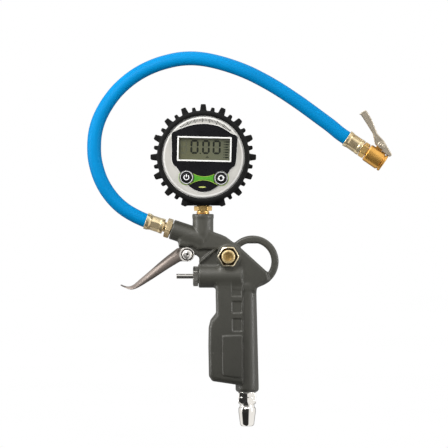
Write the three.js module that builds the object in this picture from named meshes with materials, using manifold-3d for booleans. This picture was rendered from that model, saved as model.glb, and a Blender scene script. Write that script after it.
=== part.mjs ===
// Digital tyre inflator gun: cast body with trigger valve, bleed valve, boot-protected digital gauge,
// hose and clip-on air chuck. Millimetres, +Z up, front towards -Y, right towards +X. The origin is
// under the middle of the whole object, level with the tip of the inlet plug. Everything is centred
// on the plane y = 0, so places are given as [x, z] pairs. Angles are degrees from +X towards +Z.
import * as THREE from 'three';
import * as BufferGeometryUtils from 'three/addons/utils/BufferGeometryUtils.js';
import Module from 'manifold-3d';

const wasm = await Module();
wasm.setup();

// ------------------------------------------------------------------ driving dimensions
const GAP = 0.3;                      // clearance kept between neighbouring pieces
const INLET_X = 6.4;                  // inlet plug and air passage axis
const PLUG_HEX_FLATS = 14.0;          // quarter-inch quick plug, hexagon across flats
const PLUG_BORE_RADIUS = 3.4;
const BOSS_BOTTOM_Z = 27.2;           // lower face of the inlet boss
const BOSS_RADIUS = 9.3;
const COLUMN_TOP_RADIUS = 7.3;        // air passage column, which swells down to the inlet boss
const GRIP_HALF = 10.2;               // half thickness of the grip
const GRIP_RIM_HALF = 7.8;            // half thickness of the grip's rim
const BODY_HALF = 7.5;                // half thickness of the upper body
const WEB_HALF = 4.2;                 // half thickness of the web and trigger lug
const PIVOT = [-41.4, 137.2];         // trigger pivot
const PIVOT_HOLE_RADIUS = 2.1;
const EAR_RADIUS = 5.6;               // trigger ears
const TRIGGER_HALF = 6.0;             // trigger outside half width
const TRIGGER_SHEET = 1.5;
const VALVE_Z = 119.8;                // air valve axis
const VALVE_FACE_X = -32.4;           // left face of the valve boss
const VALVE_BOSS_RADIUS = 9.2;
const STEM_RADIUS = 2.0;              // 4 mm valve stem
const STEM_END_X = -50.2;
const BLEED = [-8.6, 135.6];          // bleed valve axis
const BLEED_HEX_FLATS = 15.3;
const RING_CENTRE = [10.8, 131.6];    // hanging ring
const RING_OUTER_RADIUS = 20.8;
const RING_INNER_RADIUS = 15.0;
const RING_HALF = 2.9;
const NECK_X = -28.9;
const NECK_RADIUS = 8.5;
const NECK_TOP_Z = 169.6;
const OUTLET_FACE = [-54.0, 157.44];  // outlet boss face centre
const OUTLET_ANGLE = 180 - 18.2;      // outlet axis, out of the body
const GAUGE = [-28.6, 215.0];         // gauge centre
const FACE_SHIFT = 0.75;              // display face, to the right of the gauge centre
const FACE_ANGLE = -1.3;
const BOOT_RADIUS = 38.0;
const TOOTH_RADIUS = 42.0;
const SMALL_TOOTH_RADIUS = 40.2;
const HOSE_RADIUS = 5.6;
const HOSE_BORE_RADIUS = 3.4;
const CHUCK_FACE = [115.6, 210.0];    // centre of the chuck's mouth
const CHUCK_ANGLE = -34.5;            // chuck axis, out of the mouth
const CHUCK_RADIUS = 7.3;
const CHUCK_BORE_RADIUS = 4.3;        // takes a tyre valve 7.7 mm across its thread
const LEVER_PIVOT = [-9.8, 10.8];     // along and above the chuck axis
const LEVER_HOLE_RADIUS = 1.3;

const FINISH = {
  cast: { color: 0x4a4a45, roughness: 0.55, metalness: 0.3 },
  brass: { color: 0xc8a052, roughness: 0.3, metalness: 0.9 },
  paleBrass: { color: 0xcdbb8c, roughness: 0.3, metalness: 0.9 },
  chuckBrass: { color: 0xc98a2b, roughness: 0.3, metalness: 0.9 },
  steel: { color: 0xb9b4ae, roughness: 0.25, metalness: 0.95 },
  spring: { color: 0x9a9a9a, roughness: 0.35, metalness: 0.9 },
  rubber: { color: 0x1b1c1e, roughness: 0.8, metalness: 0 },
  hose: { color: 0x0a8fdc, roughness: 0.4, metalness: 0 },
  housing: { color: 0x202226, roughness: 0.6, metalness: 0 },
  door: { color: 0x1d1e21, roughness: 0.6, metalness: 0 },
  shell: { color: 0xb9bcc0, roughness: 0.35, metalness: 0.4 },
  panel: { color: 0x141518, roughness: 0.35, metalness: 0 },
  bezel: { color: 0xe8e8e6, roughness: 0.5, metalness: 0 },
  lens: { color: 0xbfc7bf, roughness: 0.1, metalness: 0 },
  display: { color: 0x6f7a6c, roughness: 0.4, metalness: 0 },
  zebra: { color: 0xd6a8b0, roughness: 0.8, metalness: 0 },
  circuitBoard: { color: 0x1f5a3a, roughness: 0.6, metalness: 0 },
  keyRing: { color: 0x9a9da2, roughness: 0.4, metalness: 0.3 },
  key: { color: 0x17181a, roughness: 0.7, metalness: 0 },
  keySwitch: { color: 0x2b2b2b, roughness: 0.5, metalness: 0.2 },
  battery: { color: 0x3b6ea8, roughness: 0.4, metalness: 0.3 },
  sensor: { color: 0xc4c7ca, roughness: 0.3, metalness: 0.8 },
  ribbon: { color: 0xb5762a, roughness: 0.5, metalness: 0.1 },
};

// ------------------------------------------------------------------ solid helpers
const rad = THREE.MathUtils.degToRad;

// welds the geometry, drops collapsed triangles and turns its faces outwards
function solid(geometry) {
  const bare = geometry.clone();
  bare.deleteAttribute('normal');
  bare.deleteAttribute('uv');
  const welded = BufferGeometryUtils.mergeVertices(bare, 1e-4);
  const positions = welded.attributes.position.array;
  const source = welded.index.array;
  const vertex = (i) => new THREE.Vector3().fromArray(positions, i * 3);
  const triangles = [];
  let volume = 0;
  for (let i = 0; i < source.length; i += 3) {
    const [a, b, c] = source.slice(i, i + 3);
    if (a === b || b === c || a === c) continue;
    triangles.push([a, b, c]);
    volume += vertex(a).dot(vertex(b).cross(vertex(c)));
  }
  const outward = volume < 0 ? triangles.map(([a, b, c]) => [a, c, b]) : triangles;
  return new wasm.Manifold(new wasm.Mesh({
    numProp: 3,
    vertProperties: Float32Array.from(positions),
    triVerts: Uint32Array.from(outward.flat()),
  }));
}

const union = (...parts) => parts.reduce((a, b) => a.add(b));
const cut = (part, ...tools) => tools.reduce((a, b) => a.subtract(b), part);

// turns a solid about the y axis, from +X towards +Z
const swing = (part, angle) => part.rotate([0, -angle, 0]);

// point at a distance from [x, z] in the direction of the angle
const along = ([x, z], angle, distance) => [
  x + Math.cos(rad(angle)) * distance, z + Math.sin(rad(angle)) * distance,
];

// cylinder or cone between two [x, y, z] points
function rod(start, end, radius, sides = 10, endRadius = radius) {
  const from = new THREE.Vector3(...start);
  const to = new THREE.Vector3(...end);
  const g = new THREE.CylinderGeometry(endRadius, radius, from.distanceTo(to), sides, 1);
  const direction = to.clone().sub(from).normalize();
  g.applyQuaternion(new THREE.Quaternion().setFromUnitVectors(new THREE.Vector3(0, 1, 0), direction));
  g.translate(...from.add(to).multiplyScalar(0.5));
  return solid(g);
}

const rodX = (z, x0, x1, ...size) => rod([x0, 0, z], [x1, 0, z], ...size);
const rodY = ([x, z], y0, y1, ...size) => rod([x, y0, z], [x, y1, z], ...size);
const rodZ = (x, z0, z1, ...size) => rod([x, 0, z0], [x, 0, z1], ...size);

function box([x0, x1], [y0, y1], [z0, z1]) {
  const g = new THREE.BoxGeometry(x1 - x0, y1 - y0, z1 - z0);
  g.translate((x0 + x1) / 2, (y0 + y1) / 2, (z0 + z1) / 2);
  return solid(g);
}

function wound(points, counterClockwise) {
  const vectors = points.map(([x, z]) => new THREE.Vector2(x, z));
  return THREE.ShapeUtils.area(vectors) > 0 === counterClockwise ? vectors : vectors.reverse();
}

function section(outline, holes = []) {
  const shape = new THREE.Shape(wound(outline, true));
  for (const hole of holes) shape.holes.push(new THREE.Path(wound(hole, false)));
  return shape;
}

// outline in the x-z plane, extruded from y0 to y1
function plate(outline, y0, y1, holes) {
  const g = new THREE.ExtrudeGeometry(section(outline, holes), {
    depth: y1 - y0, bevelEnabled: false, steps: 1,
  });
  g.rotateX(Math.PI / 2);
  g.translate(0, y1, 0);
  return solid(g);
}

const slab = (outline, half) => plate(outline, -half, half);

// moves a geometry made along y onto the named axis through [x, z]
function place(g, axis, [x, z]) {
  if (axis === 'z') g.rotateX(Math.PI / 2);
  if (axis === 'x') g.rotateZ(-Math.PI / 2);
  g.translate(x, 0, z);
  return solid(g);
}

// profile of [radius, distance along the axis], turned about the axis
function turned(profile, axis, sides = 10, origin = [0, 0]) {
  const points = profile.map(([radius, t]) => new THREE.Vector2(radius, t));
  return place(new THREE.LatheGeometry(points, sides), axis, origin);
}

// the same with the profile closed on itself, leaving a hole down the axis
const turnedRing = (profile, ...rest) => turned([...profile, profile[0]], ...rest);

const washer = (inner, outer, t0, t1, ...rest) => turnedRing(
  [[inner, t0], [outer, t0], [outer, t1], [inner, t1]], ...rest,
);

const circle = ([x, z], radius, count) => Array.from({ length: count }, (_, i) => {
  const angle = (i / count) * 2 * Math.PI;
  return [x + radius * Math.cos(angle), z + radius * Math.sin(angle)];
});

// hexagonal prism along the axis from t0 to t1; corner is the angle of its first corner, radians
function hexPrism(flats, axis, t0, t1, origin = [0, 0], corner = 0) {
  const radius = flats / Math.sqrt(3);
  const g = new THREE.CylinderGeometry(radius, radius, t1 - t0, 6, 1, false, corner);
  g.translate(0, (t0 + t1) / 2, 0);
  return place(g, axis, origin);
}

class PathCurve extends THREE.Curve {
  constructor(pointAt) {
    super();
    this.pointAt = pointAt;
  }

  getPoint(t, target = new THREE.Vector3()) {
    return target.copy(this.pointAt(t));
  }
}

const sweep = (shape, steps, pointAt) => new THREE.ExtrudeGeometry(shape, {
  steps, bevelEnabled: false, extrudePath: new PathCurve(pointAt),
});

// geometry of a coil spring along +x from 0 to its length
function coil({ radius, endRadius = radius, length, turns, wireRadius, stepsPerTurn = 8 }) {
  return sweep(section(circle([0, 0], wireRadius, 4)), Math.round(turns * stepsPerTurn), (t) => {
    const angle = t * turns * 2 * Math.PI;
    const r = radius + (endRadius - radius) * t;
    return new THREE.Vector3(length * t, r * Math.cos(angle), r * Math.sin(angle));
  });
}

// ------------------------------------------------------------------ assembly helpers
const assembly = new THREE.Group();

function add(parent, name, part, finish) {
  const { vertProperties, triVerts } = part.getMesh();
  const g = new THREE.BufferGeometry();
  g.setAttribute('position', new THREE.BufferAttribute(new Float32Array(vertProperties), 3));
  g.setIndex(new THREE.BufferAttribute(new Uint32Array(triVerts), 1));
  const mesh = new THREE.Mesh(g, new THREE.MeshStandardMaterial(finish));
  mesh.name = name;
  parent.add(mesh);
}

function addGroup(parent, [x, z], angle = 0) {
  const group = new THREE.Group();
  group.position.set(x, 0, z);
  group.rotation.y = -rad(angle);
  parent.add(group);
  return group;
}

// ------------------------------------------------------------------ cast gun body
// outlines as [x, z]
const EDGE_LOW = [22.4, 123.4];       // ends of the sloping edge that crosses the hanging ring
const EDGE_HIGH = [0.8, 142.8];
const UPPER_OUTLINE = [
  [-48.4, 148.5], [-48.2, 143.8], [-37.0, 143.8], [-33.5, 141.2], [-15.8, 141.2], [-15.8, 128.0],
  [-18.0, 110.0], [13.1, 108.0], [14.4, 110.8], [18.4, 114.4], [24.0, 116.6], EDGE_LOW, EDGE_HIGH,
  [-5.6, 147.6], [-10.4, 151.6], [-14.4, 153.2], [-19.6, 155.0], [-24.0, 157.0], [-44.0, 154.0],
];
const WEB_OUTLINE = [
  [-48.3, 147.5], [-48.0, 141.2], [-46.4, 136.4], [-44.9, 133.6], [-41.4, 132.2], [-37.9, 133.6],
  [-36.4, 137.6], [-34.4, 136.4], [-32.0, 134.8], [-31.6, 130.8], [-32.3, 128.0], [-32.3, 118.0],
  [-8.0, 118.0], [-8.0, 148.0], [-20.0, 154.0], [-40.0, 156.0],
];
const GRIP_RIM_OUTLINE = [
  [-18.8, 112.0], [-18.8, 106.0], [-18.4, 90.8], [-20.8, 86.4], [-23.2, 84.4], [-24.2, 81.2],
  [-24.4, 64.4], [-24.0, 39.6], [-22.4, 36.4], [-4.4, 33.6], [-3.2, 31.6], [8.0, 31.6],
  [8.0, 114.0], [4.0, 118.0], [-10.0, 118.0],
];
const GRIP_OUTLINE = [
  [-15.6, 105.0], [-15.4, 89.6], [-20.6, 83.0], [-21.2, 64.4], [-21.0, 41.4], [-20.0, 39.6],
  [-3.6, 36.8], [2.8, 36.4], [2.4, 105.0],
];

// opening of the hanging ring: an arc cut off by the sloping edge, with a small flat land on top
function ringOpening() {
  const [centreX, centreZ] = RING_CENTRE;
  const landHeight = RING_INNER_RADIUS - 0.6;
  const landZ = centreZ + landHeight;
  const landHalf = Math.sqrt(RING_INNER_RADIUS ** 2 - landHeight ** 2);
  const slope = (EDGE_LOW[1] - EDGE_HIGH[1]) / (EDGE_LOW[0] - EDGE_HIGH[0]);
  const edgeZ = (x) => EDGE_HIGH[1] + (x - EDGE_HIGH[0]) * slope;
  const arc = Array.from({ length: 25 }, (_, i) => (
    along(RING_CENTRE, -45 + (i / 24) * 215, RING_INNER_RADIUS)
  )).filter(([x, z]) => z <= landZ && z > edgeZ(x) + 0.2);
  return [
    [21.4, edgeZ(21.4)], [22.9, 123.3],
    ...arc.filter(([x]) => x > centreX),
    [centreX + landHalf, landZ], [centreX - landHalf, landZ],
    ...arc.filter(([x]) => x < centreX),
  ];
}

function outletRod(from, to, radius, sides) {
  const [[x0, z0], [x1, z1]] = [from, to].map((d) => along(OUTLET_FACE, OUTLET_ANGLE, d));
  return rod([x0, 0, z0], [x1, 0, z1], radius, sides);
}

function gunBody() {
  const earClearance = EAR_RADIUS + 0.8;
  const casting = union(
    slab(UPPER_OUTLINE, BODY_HALF),
    slab(WEB_OUTLINE, WEB_HALF),
    slab(GRIP_RIM_OUTLINE, GRIP_RIM_HALF),
    slab(GRIP_OUTLINE, GRIP_HALF),
    slab(circle(RING_CENTRE, RING_OUTER_RADIUS, 48), RING_HALF),
    rodZ(NECK_X, 147.5, NECK_TOP_Z, NECK_RADIUS, 16),
    outletRod(0, -27, 8.15, 16),
    rodX(VALVE_Z, VALVE_FACE_X, 2, VALVE_BOSS_RADIUS, 16),
    rodY(BLEED, -BODY_HALF, 8.0, 9.4, 14),
    rodZ(INLET_X, BOSS_BOTTOM_Z, 38.1, BOSS_RADIUS, 16),
    rodZ(INLET_X, 38, 114, BOSS_RADIUS, 16, COLUMN_TOP_RADIUS),
  );
  return cut(
    casting,
    slab(ringOpening(), 12),
    // trigger ears and pin
    rodY(PIVOT, -12, -WEB_HALF, earClearance, 14),
    rodY(PIVOT, WEB_HALF, 12, earClearance, 14),
    rodY(PIVOT, -12, 12, PIVOT_HOLE_RADIUS, 12),
    // gauge stem thread and air way
    rodZ(NECK_X, 160, 172, 5.8, 12),
    rodZ(NECK_X, 148, 161, 3.0),
    // outlet thread and air way
    outletRod(1, -9, 5.3, 12),
    outletRod(1, -26.5, 2.9),
    // inlet thread and air passage
    rodZ(INLET_X, 26, 39.6, 6.5, 12),
    rodZ(INLET_X, 38, VALVE_Z, 4.0),
    // air valve chamber
    rodX(VALVE_Z, VALVE_FACE_X - 1, 4, 6.0, 12),
    // air way up to the gauge neck, and branch to the bleed valve
    rod([-16.0, 0, 122.5], [-27.6, 0, 151.5], 2.0),
    rod([-20.4, 0, 133.4], [BLEED[0], 0, BLEED[1]], 1.4),
    // bleed valve bore
    rodY(BLEED, -12, 6.3, 6.0, 12),
  );
}
add(assembly, 'gun_body', gunBody(), FINISH.cast);

// ------------------------------------------------------------------ trigger, its pin and clip
// edges of the trigger's side view as [x, z]
const TRIGGER_UPPER = [
  [-49.3, 142.5], [-61.6, 132.8], [-71.2, 124.4], [-79.2, 117.6], [-84.8, 112.9], [-88.0, 111.7],
  [-93.6, 113.0],
];
const TRIGGER_LOWER = [
  [-94.2, 112.0], [-89.6, 110.0], [-86.4, 109.2], [-82.4, 110.0], [-71.2, 116.4], [-63.2, 121.6],
  [-55.2, 126.8], [-47.2, 131.6],
];
const TRIGGER_ROOT = [[-43.4, 132.0], [-38.4, 136.0], [-41.4, 142.4], [-46.0, 141.9]];

// bent sheet: a strip along the upper edge between two side flanges with round ears
function trigger() {
  const offset = TRIGGER_SHEET * 1.05;
  const inset = TRIGGER_UPPER.map(([x, z], i) => {
    const before = TRIGGER_UPPER[Math.max(i - 1, 0)];
    const after = TRIGGER_UPPER[Math.min(i + 1, TRIGGER_UPPER.length - 1)];
    const [dx, dz] = [after[0] - before[0], after[1] - before[1]];
    const length = Math.hypot(dx, dz);
    return [x - (dz / length) * offset, z + (dx / length) * offset];
  });
  const flange = [...TRIGGER_UPPER, ...TRIGGER_LOWER, ...TRIGGER_ROOT];
  const sides = [
    [-TRIGGER_HALF, -TRIGGER_HALF + TRIGGER_SHEET],
    [TRIGGER_HALF - TRIGGER_SHEET, TRIGGER_HALF],
  ];
  return cut(
    union(
      slab([...TRIGGER_UPPER, ...inset.reverse()], TRIGGER_HALF),
      ...sides.map(([y0, y1]) => plate(flange, y0, y1)),
      ...sides.map(([y0, y1]) => rodY(PIVOT, y0, y1, EAR_RADIUS, 14)),
    ),
    rodY(PIVOT, -12, 12, PIVOT_HOLE_RADIUS, 12),
  );
}
add(assembly, 'trigger', trigger(), FINISH.steel);

add(assembly, 'trigger_pin', turned([
  [0, -8.1], [1.9, -7.9], [3.2, -7.3], [4.0, -6.35], [2.0, -6.3], [2.0, 7.6], [1.7, 7.9], [0, 7.9],
], 'y', 12, PIVOT), FINISH.steel);
add(assembly, 'trigger_pin_clip', washer(2.15, 3.7, 6.3, 7.1, 'y', 12, PIVOT), FINISH.spring);

// ------------------------------------------------------------------ air valve
const VALVE_AXIS = [0, VALVE_Z];
const GLAND_FACE_X = VALVE_FACE_X - GAP;   // right face of the gland nut's hexagon

const glandNut = cut(
  union(
    hexPrism(14.2, 'x', GLAND_FACE_X - 4.2, GLAND_FACE_X, VALVE_AXIS),
    rodX(VALVE_Z, GLAND_FACE_X - 0.1, -19, 5.7, 12),
  ),
  rodX(VALVE_Z, -40, -15, STEM_RADIUS + 0.1),
  rodX(VALVE_Z, -27.4, -25.0, 4.2),   // O-ring groove
);
add(assembly, 'gland_nut', glandNut, FINISH.steel);
const glandRing = turnedRing(circle([3.15, -26.2], 1.0, 8), 'x', 10, VALVE_AXIS);
add(assembly, 'gland_o_ring', glandRing, FINISH.rubber);

// cage cross-drilled from below and from the front
const CAGE_PORT_X = -15.4;
const seatCage = cut(
  turnedRing([
    [3.9, -18.6], [5.7, -18.6], [5.7, -9.0], [3.0, -9.0], [3.0, -11.6], [3.9, -11.6],
  ], 'x', 12, VALVE_AXIS),
  rodZ(CAGE_PORT_X, VALVE_Z - 8, VALVE_Z + 8, 1.8),
  rodY([CAGE_PORT_X, VALVE_Z], -8, 8, 1.8),
);
add(assembly, 'valve_seat_cage', seatCage, FINISH.brass);

// stem with poppet; the thinner neck beside the poppet lets air past the seat
add(assembly, 'valve_stem', turned([
  [0, STEM_END_X], [1.7, STEM_END_X], [STEM_RADIUS, STEM_END_X + 0.4], [STEM_RADIUS, -12.6],
  [1.5, -12.2], [1.5, -7.0], [5.0, -7.0], [5.0, -5.4], [2.2, -5.4], [2.2, -2.6], [0, -2.6],
], 'x', 12, VALVE_AXIS), FINISH.steel);
add(assembly, 'valve_seal', washer(1.8, 4.8, -8.7, -7.3, 'x', 10, VALVE_AXIS), FINISH.rubber);
const valveSpring = coil({ radius: 3.6, length: 8.0, turns: 5, wireRadius: 0.45 });
valveSpring.translate(-4.6, 0, VALVE_Z);
add(assembly, 'valve_spring', solid(valveSpring), FINISH.spring);

// ------------------------------------------------------------------ inlet plug and filter
const INLET_AXIS = [INLET_X, 0];
const inletPlug = cut(
  union(
    turned([
      [0, 0], [5.1, 0], [5.5, 0.6], [6.5, 8.0], [6.9, 11.4], [6.9, 14.4], [6.2, 15.2],
      [5.85, 16.8], [6.1, 17.6], [6.6, 18.3], [6.6, 27], [6.2, 27], [6.2, 38], [0, 38],
    ], 'z', 14, INLET_AXIS),
    hexPrism(PLUG_HEX_FLATS, 'z', 18.0, BOSS_BOTTOM_Z - GAP, INLET_AXIS),
  ),
  rodZ(INLET_X, -1, 40, PLUG_BORE_RADIUS),
);
add(assembly, 'inlet_plug', inletPlug, FINISH.steel);
add(assembly, 'inlet_filter', turned([
  [0, 53], [2.4, 53], [2.7, 38.3], [6.2, 38.3], [6.2, 39.3], [3.6, 39.3], [3.2, 54], [0, 54],
], 'z', 10, INLET_AXIS), FINISH.brass);

// ------------------------------------------------------------------ bleed valve
const BLEED_SEAT_Y = -BODY_HALF - GAP;     // back face of the hexagon
const bleedBody = cut(
  union(
    hexPrism(BLEED_HEX_FLATS, 'y', -13.6, BLEED_SEAT_Y, BLEED, Math.PI / 2),
    rodY(BLEED, BLEED_SEAT_Y - 0.1, 2.0, 5.7, 12),
  ),
  rodY(BLEED, -14, -9.0, 6.6, 12),
  rodY(BLEED, -10, 3, 2.6),
);
add(assembly, 'bleed_hex_body', bleedBody, FINISH.brass);
add(assembly, 'bleed_button', turned([
  [0, -16.5], [2.4, -16.4], [3.9, -15.9], [5.2, -15.0], [5.8, -14.0], [5.8, -12.8], [2.0, -12.8],
  [2.0, 3.6], [3.8, 3.6], [3.8, 4.2], [0, 4.2],
], 'y', 12, BLEED), FINISH.brass);
add(assembly, 'bleed_seal', washer(2.3, 3.8, 2.3, 3.3, 'y', 10, BLEED), FINISH.rubber);
const bleedSpring = coil({ radius: 4.2, length: 2.7, turns: 2.5, wireRadius: 0.35 });
bleedSpring.rotateZ(Math.PI / 2);
bleedSpring.translate(BLEED[0], -12.3, BLEED[1]);
add(assembly, 'bleed_spring', solid(bleedSpring), FINISH.spring);

// ------------------------------------------------------------------ gauge stem
const NECK_AXIS = [NECK_X, 0];
const gaugeStem = cut(
  union(
    rodZ(NECK_X, 161.6, 172.4, 5.4, 12),
    hexPrism(12.7, 'z', 172.1, 176.0, NECK_AXIS, Math.PI / 2),
    rodZ(NECK_X, 175.8, 190.4, 5.0, 12),
  ),
  rodZ(NECK_X, 160, 192, 1.5),
);
add(assembly, 'gauge_stem', gaugeStem, FINISH.brass);
add(assembly, 'stem_seal', washer(3.2, 5.5, 160.3, 161.3, 'z', 10, NECK_AXIS), FINISH.rubber);

// ------------------------------------------------------------------ gauge case
const gauge = addGroup(assembly, GAUGE);
const STEM_X = NECK_X - GAUGE[0];          // gauge stem axis in the gauge's own frame
const CASE_RADIUS = 34.3;
const CASE_INNER_RADIUS = 32.2;
const CASE_SCREWS = [[-18.5, 19], [18.5, 19], [9.5, -25], [-9.5, -25]];
const DOOR_SCREW = [0, -13.7];
const rodsAtScrews = (y0, y1, radius) => CASE_SCREWS.map((screw) => rodY(screw, y0, y1, radius));

function gaugeBoot() {
  const parts = [turnedRing([
    [32.9, -15.6], [36.4, -15.6], [38.0, -14.0], [BOOT_RADIUS, 13.4], [36.4, 15.0], [29.6, 15.0],
    [29.6, 12.6], [34.7, 12.6], [34.7, -12.0], [32.9, -12.0],
  ], 'y', 32)];
  // large and small teeth by turns, counted from the top
  for (let k = 0; k < 32; k += 1) {
    if (k >= 15 && k <= 17) continue;           // no teeth beside the stem
    const [tip, half, depthHalf] = k % 2 === 0
      ? [TOOTH_RADIUS, 2.3, 11.5]
      : [SMALL_TOOTH_RADIUS, 1.5, 10];
    const tooth = slab([
      [37.0, -half - 0.5], [tip, -half], [tip, half], [37.0, half + 0.5],
    ], depthHalf);
    parts.push(swing(tooth, 90 + 11.25 * k));
  }
  // flat pad round the stem
  parts.push(slab([
    [-14.5, -38.7], [14.5, -38.7], [14.5, -33.0], [7.5, -35.5], [0, -36.2], [-7.5, -35.5],
    [-14.5, -33.0],
  ], 10));
  return cut(union(...parts), rodZ(STEM_X, -45, -28, 5.6, 12));
}
add(gauge, 'gauge_boot', gaugeBoot(), FINISH.rubber);

const gaugeHousing = cut(
  union(
    turned([
      [0, 12.2], [CASE_RADIUS, 12.2], [CASE_RADIUS, -5.7], [CASE_INNER_RADIUS, -5.7],
      [CASE_INNER_RADIUS, 10.2], [0, 10.2],
    ], 'y', 24),
    ...rodsAtScrews(-1.9, 10.4, 2.9),
    box([-6, 6], [8.0, 10.4], [-19, -12.0]),             // door screw boss
  ),
  box([-24.3, 24.3], [10.3, 13], [-15.8, 12.8]),         // recess for the door
  box([-23.8, 23.8], [9.5, 13], [-11.5, 12.3]),          // battery opening
  rodZ(STEM_X, -36, -30, 5.4, 12),
  ...rodsAtScrews(-3, 13, 1.3),
  ...rodsAtScrews(10.1, 13, 2.5),
  rodY(DOOR_SCREW, 7, 12, 1.0),
);
add(gauge, 'gauge_housing', gaugeHousing, FINISH.housing);

CASE_SCREWS.forEach((screw, i) => {
  add(gauge, `case_screw_${i + 1}`, turned([
    [0, -7.4], [1.0, -7.4], [1.0, 10.4], [2.2, 10.4], [2.2, 11.6], [1.8, 12.0], [0, 12.0],
  ], 'y', 10, screw), FINISH.spring);
});

const batteryDoor = cut(
  box([-24, 24], [10.6, 12.2], [-15.5, 12.5]),
  rodY(DOOR_SCREW, 10, 13, 1.1),
  rodY(DOOR_SCREW, 11.3, 13, 2.1),
);
add(gauge, 'battery_door', batteryDoor, FINISH.door);
add(gauge, 'battery_door_screw', turned([
  [0, 8.3], [0.8, 8.3], [0.8, 11.6], [1.8, 11.6], [1.8, 12.3], [0, 12.5],
], 'y', 10, DOOR_SCREW), FINISH.spring);

// ------------------------------------------------------------------ display face
// everything in this group is turned together by a small angle
const face = addGroup(gauge, [0, 0], FACE_ANGLE);
const LCD_Z = 6.2;
const KEY_OFFSET = 13.8;
const KEY_Z = -16.6;
const ON_KEY = [-KEY_OFFSET + FACE_SHIFT, KEY_Z];
const FUNC_KEY = [KEY_OFFSET + FACE_SHIFT, KEY_Z];
const KEYS = [ON_KEY, FUNC_KEY];

// x and z ranges of a part centred on the display
const lcdRanges = (halfWidth, halfHeight) => [
  [FACE_SHIFT - halfWidth, FACE_SHIFT + halfWidth], [LCD_Z - halfHeight, LCD_Z + halfHeight],
];
function lcdRect(halfWidth, halfHeight) {
  const [[x0, x1], [z0, z1]] = lcdRanges(halfWidth, halfHeight);
  return [[x0, z0], [x1, z0], [x1, z1], [x0, z1]];
}
function lcdBox(halfWidth, halfHeight, y0, y1) {
  const [xRange, zRange] = lcdRanges(halfWidth, halfHeight);
  return box(xRange, [y0, y1], zRange);
}

// the shell stays square to the gauge; only its window and key holes follow the face
const frontShell = cut(
  union(
    turned([
      [0, -13.2], [32.4, -13.2], [32.4, -11.7], [CASE_RADIUS, -11.7], [CASE_RADIUS, -6.0],
      [CASE_INNER_RADIUS, -6.0], [CASE_INNER_RADIUS, -11.2], [0, -11.2],
    ], 'y', 24),
    ...rodsAtScrews(-11.4, -2.4, 2.4),
  ),
  swing(lcdBox(23.3, 11.1, -14, -11), FACE_ANGLE),
  ...KEYS.map((key) => swing(rodY(key, -14, -11, 4.3), FACE_ANGLE)),
  ...rodsAtScrews(-8.2, -2, 1.6),
);
add(gauge, 'gauge_front_shell', frontShell, FINISH.shell);

// [x, z], clockwise from the upper left
const PANEL_OUTLINE = [
  [-25.4, 18.0], [-24.6, 19.4], [-12.3, 24.0], [0, 26.2], [12.3, 24.0], [21.3, 19.4],
  [26.6, 17.2], [26.4, 10.0], [26.2, -4.0], [25.4, -6.6], [22.4, -8.8], [19.8, -13.0], FUNC_KEY,
  [12.6, -22.9], [10.4, -24.0], [0, -28.0], [-9.0, -24.0], [-11.2, -22.9], ON_KEY,
  [-18.4, -12.6], [-20.4, -9.4], [-23.6, -6.6], [-24.8, -4.0],
];
add(face, 'face_panel', cut(
  plate(PANEL_OUTLINE, -14.0, -13.5, [lcdRect(21.9, 10.1)]),
  ...KEYS.map((key) => rodY(key, -16, -12, 5.8, 14)),
), FINISH.panel);

const bezel = plate(lcdRect(21.6, 9.9), -14.5, -13.5, [lcdRect(20.5, 8.8)]);
add(face, 'lcd_bezel', bezel, FINISH.bezel);
add(face, 'lcd_lens', lcdBox(23, 10.8, -13.15, -11.5), FINISH.lens);
add(face, 'lcd_module', lcdBox(22.4, 9.6, -10.9, -8.2), FINISH.display);
add(face, 'zebra_connector', box(
  [FACE_SHIFT - 16, FACE_SHIFT + 16], [-7.9, -5.6], [LCD_Z + 7.0, LCD_Z + 9.4],
), FINISH.zebra);

add(face, 'main_pcb', cut(
  turned([[0, -5.3], [27, -5.3], [27, -3.7], [0, -3.7]], 'y', 20),
  ...rodsAtScrews(-6, -3, 3.4),
  box([-8, 8], [-6, -3], [-30, -17.2]),
), FINISH.circuitBoard);

['on', 'func'].forEach((name, i) => {
  const key = KEYS[i];
  const [x, z] = key;
  add(face, `${name}_key_ring`, turnedRing([
    [4.3, -14.7], [5.0, -14.7], [5.5, -14.3], [5.5, -13.5], [4.3, -13.5],
  ], 'y', 14, key), FINISH.keyRing);
  add(face, `${name}_key`, turned([
    [0, -15.3], [3.2, -15.2], [3.95, -14.7], [3.95, -10.8], [4.9, -10.8], [4.9, -9.6], [0, -9.6],
  ], 'y', 12, key), FINISH.key);
  add(face, `${name}_key_switch`, union(
    box([x - 3, x + 3], [-7.8, -5.6], [z - 3, z + 3]),
    rodY(key, -8.85, -7.6, 1.7),
  ), FINISH.keySwitch);
});

// ------------------------------------------------------------------ power and sensing
const CELL_Z = 5.6;                        // the two cells lie above and below the gauge centre
const CELL_Y = 4.3;

// the upper cell's raised end points right, the lower one's left
[1, -1].forEach((side, i) => {
  const cell = turned([
    [0, -21.6], [4.6, -21.6], [5.2, -21.2], [5.2, 20.6], [4.6, 21.0], [1.9, 21.0], [1.9, 21.9],
    [0, 21.9],
  ].map(([radius, t]) => [radius, t * side]), 'x', 10, [0, CELL_Z * side]);
  add(gauge, `battery_${i + 1}`, cell.translate([0, CELL_Y, 0]), FINISH.battery);
});

// contact plates, each with a spring facing the flat end of a cell
[['left', -1], ['right', 1]].forEach(([name, side]) => {
  const spring = coil({ radius: 3.4, endRadius: 2.2, length: 1.9, turns: 2.5, wireRadius: 0.35 });
  if (side > 0) spring.rotateZ(Math.PI);
  spring.translate(side * 24.2, CELL_Y, -side * CELL_Z);
  const xRange = side < 0 ? [-24.6, -24.0] : [24.0, 24.6];
  const contact = union(box(xRange, [-0.6, 9.0], [-10.6, 10.6]), solid(spring));
  add(gauge, `battery_contact_${name}`, contact, FINISH.spring);
});

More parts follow.
